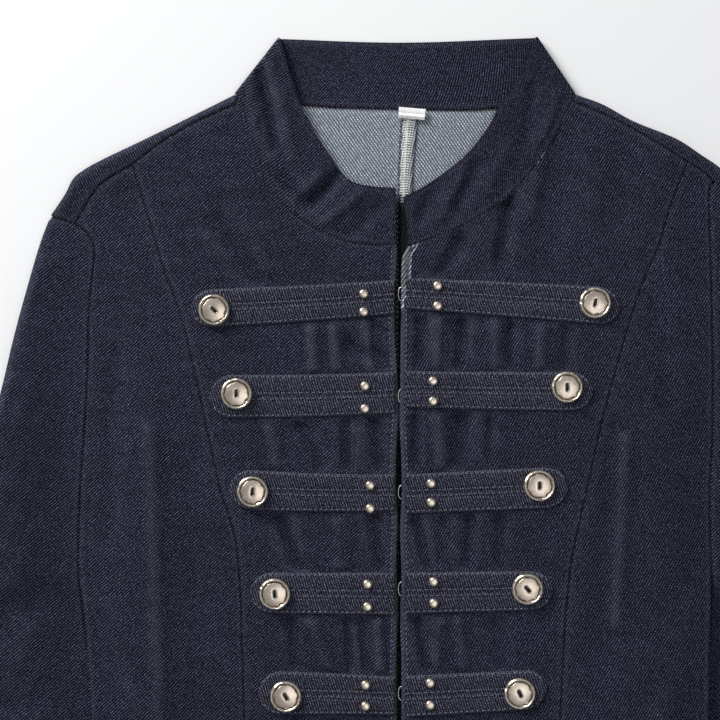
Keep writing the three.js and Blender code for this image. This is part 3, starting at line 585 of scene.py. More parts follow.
def sleeve_height(side, out, drop):
    """Upper sleeve: up from the armhole, lofted with its folds, rolled down at the outer fold."""
    below = drop > UNDERARM_DROP
    away = np.where(below, out - out_at(side.side, np.minimum(drop, HEM_DROP)),
                    distance(side.sleeve_seam, out, drop))
    rise = smooth(away, 8, 40)
    open_rise = smooth(distance(side.inner_line, out, drop), 0, 30)
    rise = np.where(drop > 520, mix(rise, open_rise, smooth(drop, 520, 560)), rise)
    base = mix(FRONT_LEVEL, TUCKED_LEVEL, smooth(drop, UNDERARM_DROP, UNDERARM_DROP + TUCK_RUN))
    loft = mix(mix(SLEEVE_LOFT["top"], SLEEVE_LOFT["low"], smooth(drop, 110, 330)),
               SLEEVE_LOFT["cuff"], smooth(drop, 500, 690))
    waves = 0.8 * unevenness(out, drop, 11 + side.sign)
    level = base + (loft + folds(SLEEVE_FOLDS[side.name], out, drop) + waves) * rise
    return mix(EDGE_LEVEL, level, roll(distance(side.outer_line, out, drop), SLEEVE_ROLL))


def back_height(side, out, drop):
    """The back's level, raised over the tucked sleeve."""
    return BACK_LEVEL + BACK_RISE * tuck(side, out, drop)


def gap_shade(out, drop):
    """Painted shade under the closed front and under the collar: 1 there, easing to 0 in the open neck."""
    closed = smooth(drop, *CLOSED_FRONT["drop"]) * (1 - smooth(np.abs(out), *CLOSED_FRONT["out"]))
    return np.maximum(closed, smooth(np.abs(out), *COLLAR_COVER))


def world(side_sign, out, drop, height):
    """Points in metres from out, drop and height in millimetres."""
    out, drop, height = np.broadcast_arrays(out, drop, height)
    return np.stack([side_sign * out, TOP_Y - drop, height], axis=-1) * MM


# Grids in plan
def close_to_ends(cells, length, fine=(0.5, 1.2, 2.4, 3.4)):
    """Even shares of a length, with more of them beside both ends."""
    near = np.array(fine) / length
    return np.unique(np.concatenate([np.linspace(0, 1, cells + 1), near, 1 - near]).round(7))


def rows_down(start, end, spacing, visible=440, coarse=2.2):
    """Drops from start to end, wider apart below what the picture shows."""
    near = np.arange(start, min(visible, end), spacing)
    far = np.linspace(min(visible, end), end, max(int((end - visible) / spacing / coarse), 1) + 1)
    fine = np.array([start + 0.5, start + 1.2, end - 2.4, end - 1.2, end - 0.5])
    return np.unique(np.concatenate([near, far, fine]).round(4))


def inset(loop, amount):
    """A closed outline moved in along the mean of the two normals at each corner."""
    following = np.roll(loop, -1, axis=0)
    area = (loop[:, 0] * following[:, 1] - following[:, 0] * loop[:, 1]).sum()
    way = (following - loop) / np.linalg.norm(following - loop, axis=1)[:, None]
    normal = np.sign(area) * np.column_stack([-way[:, 1], way[:, 0]])
    before = np.roll(normal, 1, axis=0)
    share = np.maximum(1 + (normal * before).sum(axis=1), 0.35)[:, None]
    amount = np.broadcast_to(amount, len(loop))[:, None]
    return loop + amount * (normal + before) / share


def patch(top, bottom, left, right, amount=SEAM_GAP / 2):
    """Grid between four lines: each pair of sides is blended, and the corners' share taken off."""
    columns, rows = len(top), len(left)
    loop = np.vstack([top, right[1:], bottom[::-1][1:], left[::-1][1:-1]])
    loop = inset(loop, amount)
    t = loop[:columns]
    r = loop[columns - 1:columns + rows - 1]
    b = loop[columns + rows - 2:2 * columns + rows - 2][::-1]
    side = np.vstack([loop[2 * columns + rows - 3:], loop[:1]])[::-1]
    u = ((shares_of(t) + shares_of(b)) / 2)[None, :, None]
    v = ((shares_of(side) + shares_of(r)) / 2)[:, None, None]
    across = (1 - u) * side[:, None] + u * r[:, None]
    down = (1 - v) * t[None] + v * b[None]
    high = (1 - u) * side[0] + u * r[0]
    low = (1 - u) * side[-1] + u * r[-1]
    return across + down - (1 - v) * high - v * low


def margins(middle):
    """Distance along the grid from each point to the nearest edge of a piece, in millimetres."""
    across = np.linalg.norm(np.diff(middle, axis=1), axis=2)
    down = np.linalg.norm(np.diff(middle, axis=0), axis=2)
    left = np.pad(np.cumsum(across, axis=1), ((0, 0), (1, 0)))
    top = np.pad(np.cumsum(down, axis=0), ((1, 0), (0, 0)))
    sides = np.minimum(left, left[:, -1:] - left)
    ends = np.minimum(top, top[-1:] - top)
    return np.minimum(sides, ends) / MM


def normals(points):
    """Unit normals of a grid, from the cross product of its two directions, pointing up."""
    across = np.gradient(points, axis=1)
    down = np.gradient(points, axis=0)
    normal = np.cross(across, down)
    normal /= np.maximum(np.linalg.norm(normal, axis=2), 1e-12)[..., None]
    return normal


def upwards(points):
    """Normals of a grid, each turned to point up."""
    normal = normals(points)
    return normal * np.where(normal[..., 2:] < 0, -1, 1)


def plain_weave(middle, angle):
    """Places in the weave in millimetres: across and along lines that run at an angle on the table."""
    turn = math.radians(angle)
    x, y = middle[..., 0] / MM, middle[..., 1] / MM
    return np.stack([-x * np.sin(turn) + y * np.cos(turn), x * np.cos(turn) + y * np.sin(turn)], -1)


def worn(points, reach=4):
    """How proud each point stands of the cloth round it: its height less a running mean. Above 0.5 it
    pales the cloth as a worn place; below 0.5 it darkens the cloth as painted shade in the hollows.
    """
    z = points[..., 2] / MM
    soft = z
    for _ in range(reach):
        padded = np.pad(soft, 1, mode="edge")
        soft = (padded[:-2, 1:-1] + padded[2:, 1:-1] + padded[1:-1, :-2] + padded[1:-1, 2:]
                + 2 * soft) / 6
    return np.clip(0.5 + 0.55 * (z - soft), 0, 1)


# Meshes
def make_mesh(name, vertices, faces, materials, weave=None, wear=None, face_material=None, crease=48):
    """A smooth mesh from arrays; faces are turned so that the closed shape's volume is positive."""
    corners = vertices[faces]
    centre = vertices.mean(axis=0)
    a, b, c = (corners[:, k] - centre for k in range(3))
    volume = (a * np.cross(b, c)).sum()
    if faces.shape[1] == 4:
        volume += (a * np.cross(c, corners[:, 3] - centre)).sum()
    if volume < 0:
        faces = faces[:, ::-1]
    mesh = bpy.data.meshes.new(name)
    mesh.from_pydata(vertices, [], faces)
    for material in materials:
        mesh.materials.append(material)
    if weave is not None:
        layer = mesh.uv_layers.new(name="weave")
        layer.uv.foreach_set("vector", weave[faces.ravel()].astype(np.float32).ravel())
    if wear is not None:
        values = mesh.attributes.new("wear", "FLOAT", "POINT")
        values.data.foreach_set("value", wear.astype(np.float32).ravel())
    if face_material is not None:
        mesh.polygons.foreach_set("material_index", face_material.astype(np.int32))
    mesh.polygons.foreach_set("use_smooth", np.ones(len(faces), bool))
    mesh.validate()
    mesh.update()
    if crease:
        mesh.set_sharp_from_angle(angle=math.radians(crease))
    piece = bpy.data.objects.new(name, mesh)
    bpy.context.scene.collection.objects.link(piece)
    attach(piece, BODY)
    return piece


def shell_faces(rows, columns):
    """Quads of a closed wall between two grids: both faces, then the rim that joins their borders."""
    index = np.arange(2 * rows * columns).reshape(2, rows, columns)

    def quads(layer):
        return np.stack([layer[:-1, :-1], layer[:-1, 1:], layer[1:, 1:], layer[1:, :-1]], -1)

    outer = quads(index[0]).reshape(-1, 4)
    inner = quads(index[1]).reshape(-1, 4)[:, ::-1]
    border = np.concatenate([index[:, 0, :-1], index[:, :-1, -1], index[:, -1, :0:-1],
                             index[:, :0:-1, 0]], axis=1)
    following = np.roll(border, -1, axis=1)
    rim = np.stack([following[0], border[0], border[1], following[1]], -1)
    kind = np.concatenate([np.zeros(len(outer)), np.ones(len(inner)), np.zeros(len(rim))])
    return np.vstack([outer, inner, rim]), kind


def cloth_piece(name, middle, thickness, angle, materials, nodes, weave=None,
                turned=0.45, normal=None, shade=0, reverse_at=None):
    """A closed wall of cloth either side of a middle surface.

    Each face stands half a thickness off along the normal, and the wall dips by the turned amount
    within the last millimetre or so of its edges, as at a seam. The shade is a painted shade, which
    darkens the upper face alone.
    """
    normal = upwards(middle) if normal is None else normal
    margin = margins(middle)
    dip = turned * (1 - smooth(margin, 0, 1.5)) * MM
    middle = middle - normal * dip[..., None]
    thick = thickness * (1 - 0.35 * (1 - smooth(margin, 0, 1.2)))[..., None] / 2 * MM
    outer, inner = middle + normal * thick, middle - normal * thick
    inner[..., 2] = np.maximum(inner[..., 2], 0)
    rows, columns = middle.shape[:2]
    faces, kind = shell_faces(rows, columns)
    if reverse_at is not None:
        kind[:reverse_at.size] = reverse_at.ravel()
    weave = plain_weave(middle, angle) if weave is None else weave
    # Relief, and a paler band beside each seam, as worn places; darker within the last millimetre of the
    # edges as painted shade in the seam.
    wear = np.clip(worn(outer) + 0.12 * bump(margin - 2.4, 1) - 0.3 * (1 - smooth(margin, 0, 0.9)), 0, 1)
    wear = np.concatenate([(wear - SHADE_DEPTH * shade).ravel(), wear.ravel()])
    piece = make_mesh(name + "_cloth", np.concatenate([outer.reshape(-1, 3), inner.reshape(-1, 3)]), faces,
                      materials, np.tile(weave.reshape(-1, 2), (2, 1)),
                      wear, kind if len(materials) > 1 else None)
    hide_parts(*nodes)
    return outer


def threads(name, starts, ends, radius, material, lift=0.5, sides=5):
    """Stitches as small spindles: each goes from its start to its end in an arch that stands proud
    by lift radii, with two rings of sides points and a point at either end."""
    starts, ends = np.asarray(starts), np.asarray(ends)
    along = ends - starts
    flat = np.stack([-along[:, 1], along[:, 0], np.zeros(len(along))], -1)
    across = flat / np.linalg.norm(flat, axis=1)[:, None]
    up = np.array([0, 0, 1.0])
    turn = np.arange(sides) * 2 * np.pi / sides
    ring = (across[:, None] * np.cos(turn)[:, None] + up * np.sin(turn)[:, None]) * radius
    middle = [starts + along * share + up * radius * lift for share in (0.22, 0.78)]
    sunk = up * radius * 0.6
    parts = [(starts - sunk)[:, None], middle[0][:, None] + ring, middle[1][:, None] + ring,
             (ends - sunk)[:, None]]
    vertices = np.concatenate(parts, axis=1)
    each = vertices.shape[1]
    near = np.arange(sides)
    far = np.roll(near, -1)
    first, second, last = 1, 1 + sides, 1 + 2 * sides
    caps = np.concatenate([
        np.stack([np.zeros(sides, int), first + far, first + near], -1),
        np.stack([np.full(sides, last), second + near, second + far], -1),
        np.stack([first + near, first + far, second + far], -1),
        np.stack([first + near, second + far, second + near], -1)])
    faces = (caps[None] + (np.arange(len(starts)) * each)[:, None, None]).reshape(-1, 3)
    shares = np.concatenate([[0], np.full(sides, 0.22), np.full(sides, 0.78), [1]])
    turns = np.concatenate([[0], turn, turn, [0]])
    weave = np.tile(np.stack([turns, shares * 4], -1), (len(starts), 1))
    piece = make_mesh(name, vertices.reshape(-1, 3), faces, [material], weave, crease=0)
    return piece


def stitch_row(points, spread=1.0):
    """Starts and ends of stitches along a line of points: equal steps of stitch and gap."""
    stitch = sizes().stitch_length * spread
    step = stitch + sizes().stitch_gap * spread
    length = length_of(points)
    count = max(int(length / step), 1)
    starts = np.arange(count) / count
    return resample(points, starts), resample(points, starts + stitch / length)


def sew(name, lines, material, radius=None, spread=1.0, lift=0.5):
    """One piece of thread for several stitch rows."""
    rows = [stitch_row(line, spread) for line in lines]
    starts = np.concatenate([row[0] for row in rows])
    ends = np.concatenate([row[1] for row in rows])
    return threads(name, starts, ends, radius or sizes().thread / 2, material, lift)


def turned_surface(name, rings, start, end, materials, wear=None, crease=0, face_material=None):
    """A closed surface of rings of points, with a pole before the first ring and after the last."""
    count, around = rings.shape[:2]
    vertices = np.vstack([[start], rings.reshape(-1, 3), [end]])
    index = 1 + np.arange(count * around).reshape(count, around)
    following = np.roll(index, -1, axis=1)
    body = np.stack([index[:-1], following[:-1], following[1:], index[1:]], -1).reshape(-1, 4)
    first = np.stack([following[0], index[0], np.zeros(around, int)], -1)
    last = np.stack([index[-1], following[-1], np.full(around, len(vertices) - 1)], -1)
    triangles = np.concatenate([body[:, [0, 1, 2]], body[:, [0, 2, 3]], first, last])
    wear = np.zeros(len(vertices)) if wear is None else wear
    return make_mesh(name, vertices, triangles, materials, None, wear, face_material, crease)


# Shader nodes
def node(tree, kind, inputs=None, **settings):
    """A shader node with its settings, its inputs linked to sockets or set to values."""
    made = tree.nodes.new("ShaderNode" + kind)
    for key, value in settings.items():
        setattr(made, key, value)
    for key, value in (inputs or {}).items():
        if isinstance(value, bpy.types.NodeSocket):
            tree.links.new(value, made.inputs[key])
        else:
            made.inputs[key].default_value = value
    return made


def math_node(tree, operation, *values, clamp=False):
    """The output of a Math node."""
    made = node(tree, "Math", dict(enumerate(values)), operation=operation, use_clamp=clamp)
    return made.outputs[0]


def blend_colours(tree, share, first, second, kind="MIX"):
    """The output of a Mix node that blends two colours."""
    made = node(tree, "Mix", {0: share, 6: first, 7: second}, data_type="RGBA", blend_type=kind)
    return made.outputs[2]


def noise(tree, vector, scale, detail=3.0, roughness=0.55):
    """The output of a Noise Texture node."""
    made = node(tree, "TexNoise", {"Vector": vector, "Scale": scale, "Detail": detail,
                                   "Roughness": roughness})
    return made.outputs["Fac"]


def shader_group(name, inputs, outputs):
    """An empty node group with named sockets, and its input and output nodes."""
    tree = bpy.data.node_groups.new(name, "ShaderNodeTree")
    for label, kind, default in inputs:
        socket = tree.interface.new_socket(name=label, in_out="INPUT", socket_type=kind)
        if default is not None:
            socket.default_value = default
    for label, kind in outputs:
        tree.interface.new_socket(name=label, in_out="OUTPUT", socket_type=kind)
    return tree, tree.nodes.new("NodeGroupInput").outputs, tree.nodes.new("NodeGroupOutput").inputs


def twill_group():
    """Twill weave: sines across the lines, broken along them into yarn floats, with pale flecks."""
    name = "Twill weave"
    if name in bpy.data.node_groups:
        return bpy.data.node_groups[name]
    tree, given, result = shader_group(name, [
        ("Vector", "NodeSocketVector", None), ("Pitch", "NodeSocketFloat", 1.8),
        ("Dark", "NodeSocketColor", None), ("Light", "NodeSocketColor", None),
        ("Fleck", "NodeSocketColor", None), ("Fleck amount", "NodeSocketFloat", 0.5),
        ("Broken", "NodeSocketFloat", 1.0),
    ], [("Color", "NodeSocketColor"), ("Height", "NodeSocketFloat")])
    place = given["Vector"]
    apart = node(tree, "SeparateXYZ", {0: place})
    across, along = apart.outputs[0], apart.outputs[1]
    wander = math_node(tree, "MULTIPLY", noise(tree, place, 0.22, 2.0), 1.0)
    lines = math_node(tree, "DIVIDE", math_node(tree, "ADD", across, wander), given["Pitch"])
    wave = math_node(tree, "SINE", math_node(tree, "MULTIPLY", lines, 2 * math.pi))
    wave = math_node(tree, "MULTIPLY_ADD", wave, 0.5, 0.5)
    shift = math_node(tree, "MULTIPLY", math_node(tree, "FLOOR", lines), 0.37)
    floats = math_node(tree, "SINE", math_node(
        tree, "MULTIPLY", math_node(tree, "ADD", math_node(tree, "MULTIPLY", along, 0.62), shift),
        2 * math.pi))
    floats = math_node(tree, "MULTIPLY_ADD", floats, 0.5, 0.5)
    stretched = node(tree, "CombineXYZ", {0: math_node(tree, "MULTIPLY", across, 1.5),
                                          1: math_node(tree, "MULTIPLY", along, 0.42), 2: 0.0})
    streak = noise(tree, stretched.outputs[0], 0.8, 3.0, 0.6)
    fine = noise(tree, place, 1.15, 3.0, 0.75)
    dash = node(tree, "MapRange", {0: fine, 1: 0.42, 2: 0.64, 3: 0.0, 4: 1.5}).outputs[0]
    body = math_node(tree, "MULTIPLY", math_node(tree, "POWER", wave, 1.6), math_node(
        tree, "MULTIPLY_ADD", floats, 0.4, 0.6))
    uneven = math_node(tree, "MULTIPLY_ADD", math_node(tree, "SUBTRACT", streak, 0.5), 2.2, 0.8)
    share = math_node(tree, "MULTIPLY", body, uneven)
    share = math_node(tree, "MULTIPLY", share, math_node(
        tree, "MULTIPLY_ADD", math_node(tree, "SUBTRACT", dash, 1.0), given["Broken"], 1.0), clamp=True)
    base = blend_colours(tree, share, given["Dark"], given["Light"])
    speck = node(tree, "MapRange", {0: fine, 1: 0.60, 2: 0.74, 3: 0.0, 4: 1.0}).outputs[0]
    speck = math_node(tree, "MULTIPLY", speck, given["Fleck amount"])
    speck = math_node(tree, "MULTIPLY", speck, math_node(tree, "MULTIPLY_ADD", wave, 0.7, 0.3))
    tree.links.new(blend_colours(tree, speck, base, given["Fleck"]), result["Color"])
    height = math_node(tree, "MULTIPLY_ADD", fine, 0.35, math_node(tree, "MULTIPLY", body, 0.8))
    tree.links.new(height, result["Height"])
    return tree


def drift_and_shade_group():
    """Slow light and dark patches of the cloth, paler where it is worn, and darker where the attribute is
    low, as painted shade in hollows, seams and gaps.
    """
    name = "Colour drift"
    if name in bpy.data.node_groups:
        return bpy.data.node_groups[name]
    tree, given, result = shader_group(name, [
        ("Vector", "NodeSocketVector", None), ("Color", "NodeSocketColor", None),
        ("Worn", "NodeSocketColor", None), ("Wear", "NodeSocketFloat", 0.5),
        ("Wear amount", "NodeSocketFloat", 0.3), ("Drift", "NodeSocketFloat", 0.3),
    ], [("Color", "NodeSocketColor"), ("Roughness", "NodeSocketFloat")])
    broad = noise(tree, given["Vector"], 22.0, 4.0, 0.6)
    bright = math_node(tree, "MULTIPLY", math_node(tree, "SUBTRACT", broad, 0.5), given["Drift"])
    bright = math_node(tree, "MULTIPLY_ADD", bright, 2.0, 1.0)
    grey = node(tree, "CombineColor", {0: bright, 1: bright, 2: bright}).outputs[0]
    tinted = blend_colours(tree, 1.0, given["Color"], grey, "MULTIPLY")
    proud = node(tree, "MapRange", {0: given["Wear"], 1: 0.5, 2: 1.0, 3: 0.0, 4: 1.0}).outputs[0]
    proud = math_node(tree, "MULTIPLY", proud, given["Wear amount"])
    worn_colour = blend_colours(tree, proud, tinted, given["Worn"])
    # Painted shade: a value under 0.5 darkens the colour, as shade in hollows and seams.
    sunk = node(tree, "MapRange", {0: given["Wear"], 1: 0.0, 2: 0.5, 3: 0.62, 4: 1.0}).outputs[0]
    # Painted shade: a value under 0, from the shade given to a piece, darkens it almost to black.
    deep = node(tree, "MapRange", {0: given["Wear"], 1: -1.0, 2: 0.0, 3: 0.05, 4: 1.0}).outputs[0]
    sunk = math_node(tree, "MULTIPLY", sunk, deep)
    shade = node(tree, "CombineColor", {0: sunk, 1: sunk, 2: sunk}).outputs[0]
    tree.links.new(blend_colours(tree, 1.0, worn_colour, shade, "MULTIPLY"), result["Color"])
    rough = math_node(tree, "MULTIPLY_ADD", broad, 0.16, 0.74)
    tree.links.new(rough, result["Roughness"])
    return tree


def metal_group():
    """Aged metal: polished on high places, tarnished in hollows, with fine scratches and pits."""
    name = "Aged metal"
    if name in bpy.data.node_groups:
        return bpy.data.node_groups[name]
    tree, given, result = shader_group(name, [
        ("Vector", "NodeSocketVector", None), ("Metal", "NodeSocketColor", None),
        ("Worn", "NodeSocketColor", None), ("Tarnish", "NodeSocketColor", None),
        ("Wear", "NodeSocketFloat", 0.5),
    ], [("Color", "NodeSocketColor"), ("Roughness", "NodeSocketFloat"),
        ("Height", "NodeSocketFloat")])
    cloud = noise(tree, given["Vector"], 260.0, 4.0, 0.6)
    grain = noise(tree, given["Vector"], 1500.0, 2.0, 0.6)
    edge = math_node(tree, "MULTIPLY_ADD", math_node(tree, "SUBTRACT", cloud, 0.5), 0.3, given["Wear"])
    high = node(tree, "MapRange", {0: edge, 1: 0.52, 2: 0.85, 3: 0.0, 4: 1.0}).outputs[0]
    low = node(tree, "MapRange", {0: edge, 1: 0.14, 2: 0.44, 3: 1.0, 4: 0.0}).outputs[0]
    base = blend_colours(tree, high, given["Metal"], given["Worn"])
    tree.links.new(blend_colours(tree, low, base, given["Tarnish"]), result["Color"])
    rough = math_node(tree, "MULTIPLY_ADD", cloud, 0.22, 0.22)
    tree.links.new(math_node(tree, "MULTIPLY_ADD", low, 0.3, rough), result["Roughness"])
    tree.links.new(math_node(tree, "MULTIPLY_ADD", grain, 0.3, cloud), result["Height"])
    return tree


def ply_group():
    """Twisted thread: bands that wind along it, light on the plies and dark between them."""
    name = "Thread ply"
    if name in bpy.data.node_groups:
        return bpy.data.node_groups[name]
    tree, given, result = shader_group(name, [
        ("Vector", "NodeSocketVector", None), ("Place", "NodeSocketVector", None),
        ("Thread", "NodeSocketColor", None),
    ], [("Color", "NodeSocketColor"), ("Height", "NodeSocketFloat")])
    apart = node(tree, "SeparateXYZ", {0: given["Vector"]})
    wind = math_node(tree, "MULTIPLY_ADD", apart.outputs[1], 6.0, apart.outputs[0])
    ply = math_node(tree, "MULTIPLY_ADD", math_node(tree, "SINE", wind), 0.5, 0.5)
    broad = noise(tree, given["Place"], 160.0, 2.0)
    bright = math_node(tree, "MULTIPLY_ADD", ply, 0.45, math_node(tree, "MULTIPLY", broad, 1.1))
    grey = node(tree, "CombineColor", {0: bright, 1: bright, 2: bright}).outputs[0]
    tree.links.new(blend_colours(tree, 1.0, given["Thread"], grey, "MULTIPLY"), result["Color"])
    tree.links.new(ply, result["Height"])
    return tree


def new_material(name):
    """An empty material with its Principled shader, and the nodes' tree."""
    material = bpy.data.materials.new(name)
    material.use_nodes = True
    tree = material.node_tree
    shader = tree.nodes["Principled BSDF"]
    return material, tree, shader


def grouped(tree, group, inputs):
    """The outputs of a node group put into a tree with its inputs set or linked."""
    made = tree.nodes.new("ShaderNodeGroup")
    made.node_tree = group
    for key, value in inputs.items():
        if isinstance(value, bpy.types.NodeSocket):
            tree.links.new(value, made.inputs[key])
        else:
            made.inputs[key].default_value = value
    return made.outputs


def bumped(tree, shader, height, depth, strength=1.0):
    """Tilt a shader's normal by a height of a depth in metres."""
    made = node(tree, "Bump", {"Height": height, "Distance": depth, "Strength": strength})
    tree.links.new(made.outputs["Normal"], shader.inputs["Normal"])


def woven(name, dark, light, flecks, worn_share, drift, depth=0.0005, worn_colour="fleck",
          broken=1.0, coarser=1.0):
    """Cloth material: twill on the piece's own weave map, drifting in colour, paler where worn, and darker
    where its attribute carries painted shade.
    """
    if name in bpy.data.materials:
        return bpy.data.materials[name]
    material, tree, shader = new_material(name)
    weave = node(tree, "UVMap", uv_map="weave").outputs["UV"]
    place = node(tree, "TexCoord").outputs["Object"]
    wear = node(tree, "Attribute", attribute_name="wear").outputs["Fac"]
    twill = grouped(tree, twill_group(), {
        "Vector": weave, "Pitch": sizes().twill_pitch / MM * coarser, "Dark": colour(dark),
        "Light": colour(light), "Fleck": colour("fleck"), "Fleck amount": flecks,
        "Broken": broken})
    drifted_and_shaded = grouped(tree, drift_and_shade_group(), {
        "Vector": place, "Color": twill["Color"], "Worn": colour(worn_colour), "Wear": wear,
        "Wear amount": worn_share, "Drift": drift})
    tree.links.new(drifted_and_shaded["Color"], shader.inputs["Base Color"])
    tree.links.new(drifted_and_shaded["Roughness"], shader.inputs["Roughness"])
    shader.inputs["Specular IOR Level"].default_value = 0.08
    bumped(tree, shader, twill["Height"], depth)
    return material


def denim():
    return woven("indigo denim", "denim_dark", "denim_light", 0.85, 0.16, 0.30)


def strap_denim():
    return woven("strap denim", "strap_dark", "strap_light", 0.85, 0.20, 0.26,
                 coarser=1.0)


def reverse_denim():
    return woven("denim reverse", "reverse_dark", "reverse_light", 0.12, 0.10, 0.14,
                 worn_colour="reverse_light", broken=0.6, coarser=1.1)


def thread_material(name, tint):
    """Sewing thread: the winding plies of its group, softly shaded."""
    if name in bpy.data.materials:
        return bpy.data.materials[name]
    material, tree, shader = new_material(name)
    weave = node(tree, "UVMap", uv_map="weave").outputs["UV"]
    place = node(tree, "TexCoord").outputs["Object"]
    ply = grouped(tree, ply_group(), {"Vector": weave, "Place": place, "Thread": colour(tint)})
    tree.links.new(ply["Color"], shader.inputs["Base Color"])
    shader.inputs["Roughness"].default_value = 0.65
    shader.inputs["Specular IOR Level"].default_value = 0.3
    bumped(tree, shader, ply["Height"], 0.0001)
    return material


def aged_metal(name="aged pewter", metal="metal", worn_colour="rim"):
    """Cast metal of the buttons and studs: the group's colours on a fully metallic shader."""
    if name in bpy.data.materials:
        return bpy.data.materials[name]
    material, tree, shader = new_material(name)
    place = node(tree, "TexCoord").outputs["Object"]
    wear = node(tree, "Attribute", attribute_name="wear").outputs["Fac"]
    aged = grouped(tree, metal_group(), {
        "Vector": place, "Metal": colour(metal), "Worn": colour(worn_colour),
        "Tarnish": colour("tarnish"), "Wear": wear})
    tree.links.new(aged["Color"], shader.inputs["Base Color"])
    tree.links.new(aged["Roughness"], shader.inputs["Roughness"])
    shader.inputs["Metallic"].default_value = 1.0
    bumped(tree, shader, aged["Height"], 0.00012, 0.6)
    return material


def label_cloth():
    """White woven tape: fine crossing ribs with a faint soiling."""
    name = "white tape"
    if name in bpy.data.materials:
        return bpy.data.materials[name]
    material, tree, shader = new_material(name)
    weave = node(tree, "UVMap", uv_map="weave").outputs["UV"]
    apart = node(tree, "SeparateXYZ", {0: weave})
    ribs = [math_node(tree, "SINE", math_node(tree, "MULTIPLY", apart.outputs[k], rate))
            for k, rate in ((0, 9.0), (1, 14.0))]
    height = math_node(tree, "MULTIPLY_ADD", math_node(tree, "ADD", *ribs), 0.25, 0.5)
    soil = noise(tree, weave, 0.5, 3.0)
    bright = math_node(tree, "MULTIPLY_ADD", height, 0.12, math_node(
        tree, "MULTIPLY_ADD", soil, 0.14, 0.78))
    grey = node(tree, "CombineColor", {0: bright, 1: bright, 2: bright}).outputs[0]
    tree.links.new(blend_colours(tree, 1.0, colour("label"), grey, "MULTIPLY"),
                   shader.inputs["Base Color"])
    shader.inputs["Roughness"].default_value = 0.7
    bumped(tree, shader, height, 0.00015)
    return material


# Pieces
class JACKET_OT_fronts(bpy.types.Operator):
    """Make the side fronts and centre fronts.

    Each is a grid between its seams whose height is the front cloth's: the lofted level, the folds
    and creases, the waves and the puckered seams added up.
    """

    bl_idname = "jacket.fronts"
    bl_label = "Fronts"

    def execute(self, context):
        spacing = sizes().row_spacing / MM
        for side in HALVES:
            start = side.armhole[0, 1]
            drops = rows_down(start, HEM_DROP, spacing)
            outer = np.column_stack([np.where(drops > UNDERARM_DROP, out_at(side.side, drops),
                                              out_at(side.armhole, drops)), drops])

            def down(table):
                top = table[0, 1]
                own = top + (drops - start) * (HEM_DROP - top) / (HEM_DROP - start)
                return np.column_stack([out_at(table, own), own])

            princess, edge = down(side.princess), down(side.edge)
            edge[:, 0] -= EDGE_REACH
            width = outer[-1, 0] - princess[-1, 0]
            columns = close_to_ends(int(width / 2.3), width)
            shoulder = spline(side.shoulder_outer, np.linspace(0, 1, LINE_POINTS))
            grid = patch(resample(shoulder[::-1], columns),
                         resample([outer[-1], princess[-1]], columns), outer, princess)
            self.front(side, grid, "front_side_")
            neck = spline(side.neck, np.linspace(0, 1, LINE_POINTS))
            shoulder = spline(side.shoulder_inner, np.linspace(0, 1, LINE_POINTS))
            top = np.vstack([shoulder[::-1], neck[1:]])
            corner = shares_of(top)[LINE_POINTS - 1]
            width = princess[-1, 0] - edge[-1, 0]
            columns = np.union1d(close_to_ends(int(width / 2), width), [corner])
            grid = patch(resample(top, columns), resample([princess[-1], edge[-1]], columns),
                         princess, edge)
            self.front(side, grid, "front_centre_")
        return {"FINISHED"}

    def front(self, side, grid, name):
        """One front panel, with the reverse side turned out beside the top of the right edge."""
        out, drop = grid[..., 0], grid[..., 1]
        middle = world(side.sign, out, drop, front_height(side, out, drop))
        from_edge = out - out_at(side.edge, drop)
        tapered = 1 - smooth(drop, TURNED_OUT["taper"], TURNED_OUT["end"])
        turned_out = ((side.name == "right") & (drop < TURNED_OUT["end"] - TURNED_OUT["blunt"])
                      & (from_edge < TURNED_OUT["width"] * tapered))
        rub_and_highlight = EDGE_RUB_AND_HIGHLIGHT["amount"] * bump(from_edge - EDGE_RUB_AND_HIGHLIGHT["away"], EDGE_RUB_AND_HIGHLIGHT["width"])
        # Painted shade on the turned-out reverse strip; elsewhere the pale edge line is taken off the
        # shade, which lightens the edge.
        shade = TURNED_OUT["shade"] * turned_out - rub_and_highlight * ~turned_out
        cloth_piece(name + side.name, middle, CLOTH, TWILL[side.name]["front"],
                    [denim(), reverse_denim()], [name + side.name],
                    shade=shade,
                    reverse_at=turned_out[:-1, 1:])


class JACKET_OT_shoulders(bpy.types.Operator):
    """Make the strips where the back comes forward over the shoulders.

    Each is a grid from the shoulder fold to the shoulder seam, rolled down at the fold as a quarter
    circle.
    """

    bl_idname = "jacket.shoulders"
    bl_label = "Shoulders"

    def execute(self, context):
        for side in HALVES:
            even = np.linspace(0, 1, LINE_POINTS)
            outer = spline(side.shoulder_outer, even)[::-1]
            inner = spline(side.shoulder_inner, even)[::-1]
            seam = np.vstack([outer, inner[1:]])
            corner = shares_of(seam)[LINE_POINTS - 1]
            width = length_of(seam)
            columns = np.union1d(close_to_ends(int(width / 2), width), [corner])
            rows = np.unique(np.concatenate([np.linspace(0, 1, 10) ** 1.8, [0.02, 0.06, 0.9, 0.97]]))
            grid = patch(spline(side.fold, 1 - columns[::-1])[::-1], resample(seam, columns),
                         spline(side.armhole_top, rows), spline(side.neck_top, rows), 0.15)
            out, drop = grid[..., 0], grid[..., 1]
            waves = 0.2 * unevenness(out, drop, 23) * smooth(distance(side.fold_line, out, drop), 2, 6)
            middle = world(side.sign, out, drop, body_level(side, out, drop) + waves)
            cloth_piece("shoulder_" + side.name, middle, CLOTH, TWILL[side.name]["shoulder"],
                        [denim(), reverse_denim()], ["shoulder_" + side.name],
                        turned=0.3)
        return {"FINISHED"}


